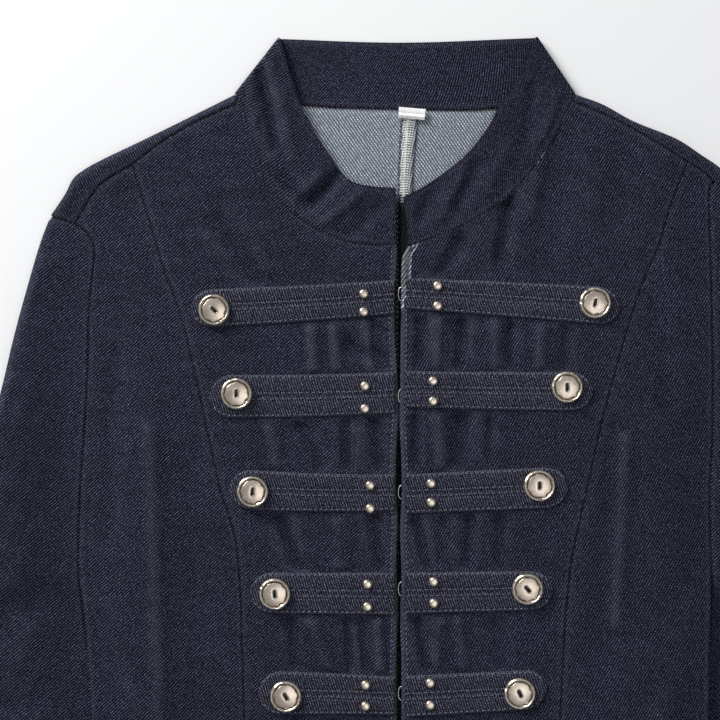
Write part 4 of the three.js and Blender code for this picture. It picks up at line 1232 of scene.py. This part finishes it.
class JACKET_OT_backs(bpy.types.Operator):
    """Make the two halves of the back, inner face up.

    Each lies flat on the table, and rides up over the tucked sleeve by a smooth step.
    """

    bl_idname = "jacket.backs"
    bl_label = "Backs"

    def execute(self, context):
        for side in HALVES:
            even = np.linspace(0, 1, LINE_POINTS)
            half = np.array([[row[0] * side.sign, row[1] + 0.3] for row in BACK_NECK
                             if row[0] * side.sign > 0])
            half = half[np.argsort(-half[:, 0])]
            half = np.vstack([half, [side.sign * BACK_SEAM[0][0], BACK_SEAM[0][1]]])
            top = np.vstack([side.fold_line[::-1], spline(half, even)[1:]])
            corner = shares_of(top)[LINE_POINTS - 1]
            columns = np.union1d(close_to_ends(90, 250), [corner])
            drops = rows_down(side.armhole[0, 1] + 0.6, HEM_DROP, 3)
            body = np.column_stack([np.where(drops > UNDERARM_DROP, out_at(side.side, drops),
                                             out_at(side.armhole, drops)), drops])
            left = np.vstack([side.arm_top_line[:-1], body])
            share = (left[:, 1] - body[0, 1]) / (HEM_DROP - body[0, 1])
            share[:len(side.arm_top_line)] = 0
            share = np.maximum(np.maximum.accumulate(share), np.arange(len(left)) * BACK_FIRST_ROWS)
            seam_drop = mix(half[-1, 1], HEM_DROP, share / share[-1])
            seam = np.column_stack([side.sign * out_at(BACK_SEAM, seam_drop), seam_drop])
            grid = patch(resample(top, columns), resample([left[-1], seam[-1]], columns), left, seam)
            out, drop = grid[..., 0], grid[..., 1]
            middle = world(side.sign, out, drop, back_height(side, out, drop))
            rim = np.minimum(distance(side.fold_line, out, drop), distance(side.arm_top_line, out, drop))
            pull = UNDER_INSET * (1 - smooth(rim, 0, 5 * UNDER_INSET)) * MM
            middle[..., 1] -= pull
            # The back's inner face gets painted shade under the closed front and the collar.
            cloth_piece("back_" + side.name, middle, CLOTH, TWILL[side.name]["back"],
                        [reverse_denim(), denim()], ["back_" + side.name],
                        turned=0, shade=gap_shade(out, drop))
        return {"FINISHED"}


class JACKET_OT_sleeves(bpy.types.Operator):
    """Make the upper and under sides of both sleeves.

    Rows run from the outer fold to the armhole and the inner fold. The upper side is lofted and
    rolls down as a quarter circle outside, and the under side lies flat on the table.
    """

    bl_idname = "jacket.sleeves"
    bl_label = "Sleeves"

    def execute(self, context):
        for side in HALVES:
            inner = np.vstack([side.arm_top_line[1:], side.arm_line[1:], side.inner_line[1:]])
            corner = shares_of(inner)[[len(side.arm_top_line) - 2,
                                       len(side.arm_top_line) + LINE_POINTS - 3]]
            rows = np.union1d(close_to_ends(250, 620), corner)
            inner = resample(inner, rows)
            outer = spline(side.sleeve_outer, mix(SLEEVE_START, 1, rows))
            upper = self.grid(outer, inner, SEAM_GAP / 2, 60)
            out, drop = upper[..., 0], upper[..., 1]
            middle = world(side.sign, out, drop, sleeve_height(side, out, drop))
            cloth_piece("sleeve_upper_" + side.name, middle, CLOTH, TWILL[side.name]["sleeve"],
                        [denim(), reverse_denim()], ["sleeve_upper_" + side.name])
            under = self.grid(outer, inner, UNDER_INSET, 30)
            middle = world(side.sign, under[..., 0], under[..., 1], BACK_LEVEL)
            cloth_piece("sleeve_under_" + side.name, middle, CLOTH, TWILL[side.name]["sleeve"],
                        [reverse_denim(), denim()], ["sleeve_under_" + side.name],
                        turned=0)
        return {"FINISHED"}

    def grid(self, outer, inner, amount, cells):
        """Straight rows between the two lines, closest together beside the rolled edge."""
        loop = inset(np.vstack([outer, inner[::-1]]), amount)
        start, end = loop[:len(outer)], loop[len(outer):][::-1]
        width = np.linalg.norm(end - start, axis=1)
        rolled = np.minimum(SLEEVE_ROLL / width, 0.5)[:, None]
        near = 1 - np.cos(np.linspace(0, np.pi / 2, 12))[None, :]
        far = close_to_ends(cells, 120, (1.2, 2.4))[None, :]
        share = np.concatenate([near * rolled, mix(rolled, 1, far[:, 1:])], axis=1)[..., None]
        return mix(start[:, None], end[:, None], share)


def collar_band(cells):
    """Stations of the collar's band: its lower line, upper line and height, and the band's length.

    The back lies on the table and both ends fold over on top, so the height goes from one level to
    the other as half a circle at each fold.
    """
    radius = (FRONT_LEVEL - COLLAR_CLOTH / 2) / 2
    middle = COLLAR_CLOTH / 2 + radius
    angles = np.linspace(0, np.pi / 2, 9)
    bend = radius * (1 - np.cos(angles))
    rows = []
    for side in HALVES:
        lower = np.vstack([side.neck_top[:1], spline(side.neck, np.linspace(0, 1, cells))])
        reach = length_of(lower)
        share = np.concatenate([bend / reach, np.linspace(bend[-1] / reach, 1, cells)[1:]])
        low = resample(lower, share)
        high = spline(side.collar_top, share)
        height = middle + radius * np.concatenate([np.sin(angles), np.ones(cells - 1)])
        across = [side.sign, 1]
        rows.append((low * across, high * across, height))
    reach = length_of(np.array(BACK_NECK))
    share = np.concatenate([bend / reach, np.linspace(bend[-1] / reach, 1 - bend[-1] / reach,
                                                      cells)[1:-1], 1 - bend[::-1] / reach])
    height = middle - radius * np.concatenate([np.sin(angles), np.ones(cells - 2),
                                               np.sin(angles)[::-1]])
    back = (spline(BACK_NECK, share), spline(COLLAR_BACK_TOP, share), height)
    (left, right) = rows
    low, high, height = (np.concatenate([left[k][::-1], back[k][1:-1], right[k]]) for k in range(3))
    return low, high, height


class JACKET_OT_collar(bpy.types.Operator):
    """Make the stand collar as one flattened band.

    A straight line from the seam to the top edge is carried along the band, and creases across the
    band are bells of the share of its length.
    """

    bl_idname = "jacket.collar"
    bl_label = "Collar"

    def execute(self, context):
        low, high, height = collar_band(110)
        span = length_of(np.array(BACK_NECK)) / 5
        v = close_to_ends(16, span)
        start = (SEAM_GAP / 2 / np.linalg.norm(high - low, axis=1))[:, None]
        v = mix(start, 1, v[None, :])[..., None]
        flat = mix(low[:, None], high[:, None], v)
        lift = np.broadcast_to(height[:, None], flat.shape[:2])
        middle = world(1, flat[..., 0], flat[..., 1], lift)
        normal = normals(middle)
        centre = len(low) // 2
        if normal[centre, 3, 2] < 0:
            normal = -normal
        length = np.concatenate([[0], np.cumsum(np.linalg.norm(np.diff(middle[:, 8], axis=0), axis=1))])
        crease = np.where(flat[..., 0] < 0,
                          COLLAR_CREASE_SHARES["left"]
                          * folds(COLLAR_CREASES["left"], -flat[..., 0], flat[..., 1]),
                          COLLAR_CREASE_SHARES["right"]
                          * folds(COLLAR_CREASES["right"], flat[..., 0], flat[..., 1]))
        crease = crease + 0.5 * unevenness(length[:, None] / MM, v[..., 0] * 40, 31)
        inside = smooth(v[..., 0], 0.02, 0.2)
        level = lift - COLLAR_CLOTH / 2
        middle[..., 2] += crease * inside * smooth(level, 2, 3.6) * MM
        band = mix(0, 40, v[..., 0])
        turn = np.radians(np.where(level > 2, 180 - TWILL["collar"], TWILL["collar"]))
        along = np.broadcast_to(length[:, None] / MM, band.shape)
        weave = np.stack([-along * np.sin(turn) + band * np.cos(turn),
                          along * np.cos(turn) + band * np.sin(turn)], -1)
        cloth_piece("collar", middle, COLLAR_CLOTH, 0, [denim()], ["collar"],
                    weave, 0.25, normal)
        self.stitch(middle, normal)
        return {"FINISHED"}

    def stitch(self, middle, normal):
        """A row of stitches beside the seam, on both faces of the band, where it is off the table."""
        rows = []
        for face in (1, -1):
            line = (middle[:, COLLAR_STITCH_COLUMN]
                    + face * normal[:, COLLAR_STITCH_COLUMN] * COLLAR_CLOTH / 2 * MM)
            shown = line[:, 2] > COLLAR_STITCH_LEVEL * MM
            for run in np.split(np.arange(len(line)), np.flatnonzero(np.diff(shown)) + 1):
                if shown[run[0]] and len(run) > 4:
                    rows.append(line[run])
        sew("collar_stitches", rows, thread_material("seam thread", "seam_thread"),
            sizes().thread * 0.4, 1, 0.2)


class JACKET_OT_neck_trim(bpy.types.Operator):
    """Make what shows inside the neck: the centre back seam's allowance and the bare label."""

    bl_idname = "jacket.neck_trim"
    bl_label = "Neck trim"

    def execute(self, context):
        drops = rows_down(45, ALLOWANCE_END, 3)
        start = out_at(BACK_SEAM, drops) + 0.3
        end = out_at(ALLOWANCE_EDGE, drops)
        share = close_to_ends(6, 8, (0.4, 1.0))
        across = mix(start[:, None], end[:, None], share[None, :])
        drop = np.broadcast_to(drops[:, None], across.shape)
        lift = ALLOWANCE_LEVEL + 0.12 * np.sin(drop * 1.9) * bump(share - 0.85, 0.3)
        middle = world(1, across, drop, lift)
        # The allowance gets painted shade under the closed front and the collar.
        outer = cloth_piece("back_seam_allowance", middle, TRIM_CLOTH, 78,
                            [reverse_denim()], ["back_seam_allowance"],
                            turned=0.3, shade=gap_shade(across, drop))
        self.overlock(outer)
        self.label()
        return {"FINISHED"}

    def overlock(self, outer):
        """Two slanted threads a pitch, each across half of the allowance and a little past its middle."""
        pale = thread_material("pale thread", "pale_thread")
        reach = abs(outer[-1, 0, 1] - outer[0, 0, 1])
        count = int(reach / MM / OVERLOCK_PITCH)
        share = (np.arange(count) + 0.5) / count
        step = OVERLOCK_PITCH * MM / reach
        lines = [resample(outer[:, column], np.clip(share + step * along, 0, 1))
                 for column, along in ((0, 0), (5, 0.5), (3, 0.75), (-2, 1.5))]
        starts = np.vstack([lines[0], lines[2]])
        ends = np.vstack([lines[1], lines[3]])
        shown = starts[:, 1] > (TOP_Y - 99) * MM
        threads("overlock", starts[shown], ends[shown], 0.42 * MM, pale, 0.4)
        # Below the open neck the pale overlock is drawn in dark thread, as painted shade under the closed
        # front.
        threads("overlock_below", starts[~shown], ends[~shown], 0.3 * MM,
                thread_material("dark thread", "denim_dark"), 0.2)
        dots = resample(outer[:, -1], share)
        loop = np.array([0.5, -0.45, 0]) * MM
        threads("overlock_loops", dots - loop, dots + loop, 0.3 * MM,
                thread_material("dark thread", "denim_dark"), 0.4)
        drops = np.arange(45, 200, 2.0)
        seam = world(1, out_at(BACK_SEAM, drops) - 0.9, drops, CLOTH + 0.1)
        sew("back_seam_stitches", [seam], thread_material("blue thread", "thread"))

    def label(self):
        """A short tape, turned a little, whose lower band is a flattened loop standing proud."""
        low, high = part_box("neck_label")
        size = (high - low) / MM
        u = np.linspace(-0.5, 0.5, 19)
        v = close_to_ends(26, size.y, (0.25, 0.6))
        turn = math.radians(-5)
        x = u[None, :] * size.x * 0.97 * (1 - 0.05 * v[:, None])
        y = (0.5 - v[:, None]) * size.y * 1.05 + 0 * u[None, :]
        loop = 0.55 * bump(v - 0.74, 0.13)[:, None] - 0.4 * bump(v - 0.5, 0.06)[:, None]
        curl = 0.35 * np.abs(u * 2)[None, :] ** 4
        centre = (low + high) / 2 / MM
        lift = low.z / MM + 0.5 + loop + curl
        middle = np.stack([centre.x + x * np.cos(turn) - y * np.sin(turn),
                           centre.y + 1.7 + x * np.sin(turn) + y * np.cos(turn), lift], -1) * MM
        weave = np.stack([x, y], -1)
        cloth_piece("neck_label", middle, 0.7, 0, [label_cloth()], ["neck_label"],
                    weave, 0.1)


class JACKET_OT_straps(bpy.types.Operator):
    """Make the ten straps.

    Each is a flat tube on its middle line: its top is a flattened arch across the width, less
    hollows along the four stitch rows and the middle groove, and it narrows to a blunt point.
    """

    bl_idname = "jacket.straps"
    bl_label = "Straps"

    def execute(self, context):
        edge_rows = []
        centre_rows = []
        for side in HALVES:
            for number, strap in enumerate(STRAPS[side.name], 1):
                edges, centres = self.strap(side, number, strap)
                edge_rows += edges
                centre_rows += centres
        blue = thread_material("blue thread", "thread")
        sew("strap_edge_stitches", edge_rows, blue)
        sew("strap_centre_stitches", centre_rows, blue,
            sizes().thread * 0.36, 1.1, 0.1)
        return {"FINISHED"}

    def strap(self, side, number, strap):
        """One strap, and the lines of its stitch rows."""
        shares = close_to_ends(int((strap.tip - STRAP_START) / 1.15), strap.tip - STRAP_START)
        out = mix(STRAP_START, strap.tip, shares)
        half = strap_half(strap, out)[:, None]
        v = np.sin(np.linspace(-1, 1, 35) * np.pi / 2 * 0.72) / math.sin(math.pi / 2 * 0.72)
        drop = strap_middle(strap, out)[:, None] + half * v[None, :]
        out = np.broadcast_to(out[:, None], drop.shape)
        away = half * np.abs(v)[None, :]
        base = body_level(side, out, drop) + CLOTH / 2
        end = np.clip((out - strap.tip + STRAP_TAPER) / STRAP_TAPER, 0, 1)
        arch = (1 - np.abs(v[None, :]) ** 7) ** 0.5 * (1 - 0.5 * end**6)
        groove = -0.8 * bump(away, 0.8) - 0.6 * bump(away - CENTRE_ROWS - 0.7, 0.6)
        groove = groove * (1 - smooth(out, strap.tip - 9, strap.tip - 5))
        row = -0.32 * bump(half - away - EDGE_ROW, 0.6)
        pucker = 0.13 * np.sin(out * 2.0 + np.sin(out * 0.4) * 2) * bump(half - away, 2.6)
        pucker = pucker + 0.16 * unevenness(out * 2.2, drop * 1.6, number + 40 + side.sign)
        pleat = 0.5 * bump(end - 0.62, 0.16) * bump(away, 2.2)
        top = base + 0.55 + (STRAP_RISE - CLOTH / 2 - 0.55) * arch + (groove + row + pucker + pleat) * arch
        upper = world(side.sign, out, drop, top)
        lower = world(side.sign, out, drop, base + 0.02 + 0.25 * np.abs(v[None, :]) ** 6)
        faces, _ = shell_faces(*out.shape)
        middle = (upper + lower) / 2
        weave = plain_weave(middle, TWILL["strap"])
        # Relief: paler on high places and along the edges as worn places, darker in the hollows as painted
        # shade.
        wear = np.clip(worn(upper, 3) + 0.35 * (1 - smooth(half - away, 0.3, 1.2)), 0, 1)
        name = f"strap_{side.name}_{number}"
        vertices = np.concatenate([upper.reshape(-1, 3), lower.reshape(-1, 3)])
        piece = make_mesh(name + "_cloth", vertices, faces, [strap_denim()],
                          np.tile(weave.reshape(-1, 2), (2, 1)), np.tile(wear.ravel(), 2), None, 70)
        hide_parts(name)
        return self.rows(strap, upper, half[:, 0], v)

    def rows(self, strap, upper, half, v):
        """Lines on the strap's top: one inside each edge, met at the tip, and two in the middle."""
        def at(away, keep):
            share = np.clip(away / half, -1, 1)
            column = np.interp(share, v, np.arange(len(v)))
            low = np.floor(column).astype(int).clip(0, len(v) - 2)
            part = (column - low)[:, None]
            line = np.arange(len(half))
            points = mix(upper[line, low], upper[line, low + 1], part)
            return points[keep]

        out = np.abs(upper[:, 0, 0]) / MM
        whole = out < strap.tip - 1.4
        short = out < strap.tip - 9
        inside = np.maximum(half - EDGE_ROW, 0.2)
        edges = [at(-inside, whole), at(inside, whole)]
        centres = [at(np.full(len(half), row), short) for row in (-CENTRE_ROWS, CENTRE_ROWS)]
        return edges, centres


class JACKET_OT_buttons(bpy.types.Operator):
    """Make the ten metal buttons and the dark thread in their holes.

    A profile of radius and height is turned round: dome, groove and rim. The rim's width and height
    vary round it as a sum of sines, with one notch, and the dome dips at the two holes.
    """

    bl_idname = "jacket.buttons"
    bl_label = "Buttons"

    def execute(self, context):
        rings = []
        for side in HALVES:
            for number, strap in enumerate(STRAPS[side.name], 1):
                rings.append(self.button(side, number, strap))
        self.thread(rings)
        return {"FINISHED"}

    def button(self, side, number, strap):
        """One button, and where the thread lies in it."""
        name = f"button_{side.name}_{number}"
        low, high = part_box(name)
        chance = np.random.default_rng(70 + number * 2 + (side.sign > 0))
        around = np.linspace(0, 2 * np.pi, 128, endpoint=False)[None, :]
        radius = np.concatenate([np.linspace(0.35, 6.5, 20), np.linspace(6.7, 7.7, 7),
                                 np.linspace(7.85, 9.35, 11), [BUTTON_RADIUS, BUTTON_RADIUS, 9.1],
                                 [8.3, 4, 0.5]])[:, None]
        phases = chance.uniform(0, 2 * np.pi, 4)
        facets = sum(np.sin(k * around + phase) for k, phase in zip((5, 8, 11, 3), phases)) / 4
        notch = bump(np.angle(np.exp(1j * (around - phases[0]))), 0.10)
        groove_at = 7.25 + 0.22 * np.sin(7 * around + phases[1]) + 0.14 * np.sin(11 * around + phases[2])
        crown = 8.45 + 0.12 * facets
        dome = 2.45 - 0.85 * (radius / 7) ** 2
        turn = math.radians(strap.button_turn)
        x, y = radius * np.cos(around), radius * np.sin(around)
        along = x * math.cos(turn) + y * math.sin(turn)
        beside = -x * math.sin(turn) + y * math.cos(turn)
        past = np.maximum(np.abs(along) - BUTTON_PITCH / 2, 0)
        dip = 0.75 * bump(np.hypot(past, beside), 0.95)
        rim = 1.35 + (1.1 + 0.38 * facets - 0.7 * notch) * bump(radius - crown, 0.75)
        share = smooth(radius, 6.7, 7.5)
        height = mix(dome - dip, rim, share) - 0.75 * bump(radius - groove_at, 0.3)
        rows = np.arange(len(radius))[:, None]
        height = np.where(rows == 38, 1.1, height)
        height = np.where(rows == 39, 0.5, height)
        height = np.where(rows >= 40, 0.12, height)
        height = np.where(rows >= 41, 0, height)
        reach = radius * (1 + 0.012 * facets * smooth(radius, 7.5, 9) * (rows < 41))
        base = low.z / MM - 0.28
        centre = (low + high) / 2 / MM
        points = np.stack([centre.x + reach * np.cos(around), centre.y + reach * np.sin(around),
                           base + height], -1) * MM
        wear = 0.44 + 0.56 * bump(radius - crown, 0.75) - 0.34 * bump(radius - groove_at, 0.24)
        wear = wear - 0.5 * dip - 0.4 * notch * smooth(radius, 7.4, 8)
        wear = np.where(rows >= 39, 0.3, wear)
        wear = np.clip(np.concatenate([[wear[0, 0]], wear.ravel(), [0.3]]), 0, 1)
        start = [centre.x * MM, centre.y * MM, (base + 2.45 - 0.75) * MM]
        end = [centre.x * MM, centre.y * MM, base * MM]
        piece = turned_surface(name + "_metal", points, start, end, [aged_metal()], wear)
        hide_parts(name)
        return centre.x, centre.y, base + 1.82, turn

    def thread(self, places):
        """Two strands across each button from hole to hole, each a small arched spindle."""
        starts, ends = [], []
        for x, y, z, turn in places:
            way = np.array([math.cos(turn), math.sin(turn), 0])
            beside = np.array([-math.sin(turn), math.cos(turn), 0])
            for shift in (-0.32, 0.32):
                centre = np.array([x, y, z]) + beside * shift
                starts.append((centre - way * 2.15) * MM)
                ends.append((centre + way * 2.15) * MM)
        piece = threads("button_thread", starts, ends, 0.42 * MM,
                        thread_material("dark thread", "denim_dark"), 0.3, 8)
        return piece


class JACKET_OT_studs(bpy.types.Operator):
    """Make the twenty domed studs.

    Each is a low flat-topped dome, height times the square root of one less the fourth power of the
    share of the radius, with a small flange round its foot.
    """

    bl_idname = "jacket.studs"
    bl_label = "Studs"

    def execute(self, context):
        around = np.linspace(0, 2 * np.pi, 32, endpoint=False)[None, :]
        share = np.array([0.12, 0.3, 0.48, 0.64, 0.78, 0.88, 0.95])[:, None]
        radius = np.concatenate([share * 2.75, [[2.85], [3.0], [2.9], [1.5]]])
        height = np.concatenate([0.3 + 1.4 * np.sqrt(1 - share**4), [[0.34], [0.22], [0], [0]]])
        for side in HALVES:
            for number in range(1, len(STRAPS[side.name]) + 1):
                for place in ("upper", "lower"):
                    name = f"stud_{side.name}_{number}_{place}"
                    low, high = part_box(name)
                    centre = (low + high) / 2 / MM
                    base = low.z / MM - 0.28
                    chance = np.random.default_rng(len(name) + number * 7)
                    dent = 0.06 * np.sin(2 * around + chance.uniform(0, 6)) * (radius < 2.8)
                    points = np.stack([centre.x + radius * np.cos(around),
                                       centre.y + radius * np.sin(around),
                                       base + height + dent * radius / 3], -1) * MM
                    wear = np.clip(0.46 + 0.1 * (height - 0.9) + 0 * around, 0, 1)
                    wear = np.where(radius > 2.7, 0.25, wear)
                    wear = np.concatenate([[0.54], wear.ravel(), [0.2]])
                    start = [centre.x * MM, centre.y * MM, (base + 1.71) * MM]
                    end = [centre.x * MM, centre.y * MM, base * MM]
                    piece = turned_surface(name + "_metal", points, start, end, [aged_metal()], wear)
                    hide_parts(name)
        return {"FINISHED"}


def tube(name, path, radius, sides, material, nodes=()):
    """A round wire along a flat path: rings across the direction of the path at each point."""
    way = np.gradient(path, axis=0)
    way /= np.linalg.norm(way, axis=1)[:, None]
    up = np.array([0, 0, 1.0])
    beside = np.cross(way, up)
    turn = np.linspace(0, 2 * np.pi, sides, endpoint=False)[None, :, None]
    rings = path[:, None] + radius * (np.cos(turn) * beside[:, None] + np.sin(turn) * up)
    wear = np.full(len(path) * sides + 2, 0.7)
    piece = turned_surface(name + "_wire", rings, path[0], path[-1], [material], wear)
    if nodes:
        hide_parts(*nodes)
    return piece


class JACKET_OT_hooks(bpy.types.Operator):
    """Make the wire hooks: a round wire carried along a bracket-shaped curve."""

    bl_idname = "jacket.hooks"
    bl_label = "Hooks"

    def execute(self, context):
        height, reach, start = HOOK["height"], HOOK["reach"], HOOK["start"]
        table = [[start, height / 2], [start - reach * 0.6, height / 2], [start - reach, height / 3],
                 [start - reach, -height / 3], [start - reach * 0.6, -height / 2],
                 [start, -height / 2]]
        curve = spline(table, np.linspace(0, 1, 41))
        wire = aged_metal("bright wire", "wire", "rim")
        for number, drop in enumerate(HOOK["drops"], 1):
            path = world(1, curve[:, 0], drop - curve[:, 1], FRONT_LEVEL + HOOK["lift"])
            tube(f"hook_{number}", path, HOOK["wire"] / 2 * MM, 10, wire, [f"hook_{number}"])
        return {"FINISHED"}


class JACKET_OT_topstitching(bpy.types.Operator):
    """Sew the rows of topstitching beside the front edges, the princess and the shoulder seams.

    Each stitch is a small spindle on the front cloth's surface, at equal steps along its line.
    """

    bl_idname = "jacket.topstitching"
    bl_label = "Topstitching"

    def execute(self, context):
        edge_rows, seam_rows, shoulder_rows = [], [], []
        for side in HALVES:
            drops = np.arange(side.edge[0, 1] + 3, HEM_DROP - 3, 1.5)
            edge_rows.append(self.line(side, out_at(side.edge, drops) + SEAM_ROW, drops))
            drops = np.arange(side.princess[0, 1] + 4, HEM_DROP - 3, 2.0)
            out = out_at(side.princess, drops) - SEAM_ROW
            seam_rows.append(self.line(side, out, drops))
            for table in (side.shoulder_inner, side.shoulder_outer):
                seam = spline(table, np.linspace(0.03, 0.97, 60))
                shoulder_rows.append(self.line(side, seam[:, 0], seam[:, 1] + 2.2))
        blue = thread_material("blue thread", "thread")
        sew("front_edge_stitches", edge_rows, blue)
        faint = thread_material("seam thread", "seam_thread")
        sew("princess_stitches", seam_rows, faint, sizes().thread * 0.3, 1, 0.1)
        sew("shoulder_stitches", shoulder_rows, faint, sizes().thread * 0.3, 1, 0.1)
        return {"FINISHED"}

    def line(self, side, out, drop):
        """A line of points on the top of the front cloth."""
        return world(side.sign, out, drop, front_height(side, out, drop) + CLOTH / 2)


class JACKET_OT_studio(bpy.types.Operator):
    """Set the camera straight above, the pale floor and the soft lights."""

    bl_idname = "jacket.studio"
    bl_label = "Studio"

    def execute(self, context):
        scene = context.scene
        scene.view_settings.view_transform = "Standard"
        middle_x, middle_y = PICTURE_MIDDLE[0] * MM, (TOP_Y - PICTURE_MIDDLE[1]) * MM
        data = bpy.data.cameras.new("camera")
        data.lens = LENS
        data.sensor_width = SENSOR
        data.dof.use_dof = False
        camera = bpy.data.objects.new("camera", data)
        camera.location = (middle_x, middle_y, FIELD * MM * LENS / SENSOR + FRONT_LEVEL * MM)
        scene.collection.objects.link(camera)
        scene.camera = camera
        self.floor()
        self.light("overhead", (0.5, -0.25, 2.4), 1.5, 12)
        self.light("window", (-1.5, 1.75, 0.95), 0.9, 80)
        world_light = bpy.data.worlds.new("studio")
        world_light.use_nodes = True
        background = world_light.node_tree.nodes["Background"]
        background.inputs["Color"].default_value = (0.93, 0.96, 1.0, 1)
        background.inputs["Strength"].default_value = 0.30
        scene.world = world_light
        return {"FINISHED"}

    def floor(self):
        """A wide flat square just under the jacket, finely mottled."""
        corner = 4.0
        vertices = np.array([[-corner, -corner, 0], [corner, -corner, 0], [corner, corner, 0],
                             [-corner, corner, 0]]) - [0, 0, 0.0002]
        mesh = bpy.data.meshes.new("table")
        mesh.from_pydata(vertices, [], [[0, 1, 2, 3]])
        material, tree, shader = new_material("pale floor")
        place = node(tree, "TexCoord").outputs["Object"]
        soft = math_node(tree, "MULTIPLY_ADD", noise(tree, place, 3.0, 3.0), 0.04, 0.96)
        grey = node(tree, "CombineColor", {0: soft, 1: soft, 2: soft}).outputs[0]
        tree.links.new(blend_colours(tree, 1.0, colour("floor"), grey, "MULTIPLY"),
                       shader.inputs["Base Color"])
        shader.inputs["Roughness"].default_value = 0.9
        mesh.materials.append(material)
        floor = bpy.data.objects.new("table", mesh)
        bpy.context.scene.collection.objects.link(floor)

    def light(self, name, place, size, power):
        """A square soft light that faces the jacket's middle."""
        data = bpy.data.lights.new(name, "AREA")
        data.size = size
        data.energy = power
        lamp = bpy.data.objects.new(name, data)
        target = np.array([PICTURE_MIDDLE[0] * MM, (TOP_Y - PICTURE_MIDDLE[1]) * MM, 0])
        way = np.array(place) - target
        lamp.location = place
        lamp.rotation_euler = (math.acos(way[2] / np.linalg.norm(way)), 0,
                               math.atan2(way[1], way[0]) + math.pi / 2)
        bpy.context.scene.collection.objects.link(lamp)


STEPS = ["backs", "sleeves", "fronts", "shoulders", "neck_trim", "collar", "straps", "buttons",
         "studs", "hooks", "topstitching", "studio"]


class JACKET_PT_panel(bpy.types.Panel):
    """List the jacket's sizes, colours and pieces in the sidebar."""

    bl_label = "Jacket"
    bl_idname = "JACKET_PT_panel"
    bl_space_type = "VIEW_3D"
    bl_region_type = "UI"
    bl_category = "Jacket"

    def draw(self, context):
        for settings in (context.scene.jacket_sizes, context.scene.jacket_colours):
            box = self.layout.box()
            for name in settings.__annotations__:
                box.prop(settings, name)
        for step in STEPS:
            self.layout.operator("jacket." + step)


CLASSES = [JacketSizes, JacketColours, JACKET_OT_backs, JACKET_OT_sleeves, JACKET_OT_fronts,
           JACKET_OT_shoulders, JACKET_OT_neck_trim, JACKET_OT_collar, JACKET_OT_straps,
           JACKET_OT_buttons, JACKET_OT_studs, JACKET_OT_hooks, JACKET_OT_topstitching,
           JACKET_OT_studio, JACKET_PT_panel]


def register():
    for each in CLASSES:
        bpy.utils.register_class(each)
    bpy.types.Scene.jacket_sizes = bpy.props.PointerProperty(type=JacketSizes)
    bpy.types.Scene.jacket_colours = bpy.props.PointerProperty(type=JacketColours)


def unregister():
    del bpy.types.Scene.jacket_colours
    del bpy.types.Scene.jacket_sizes
    for each in reversed(CLASSES):
        bpy.utils.unregister_class(each)


def main():
    register()
    for step in STEPS:
        getattr(bpy.ops.jacket, step)()


if __name__ == "__main__":
    main()
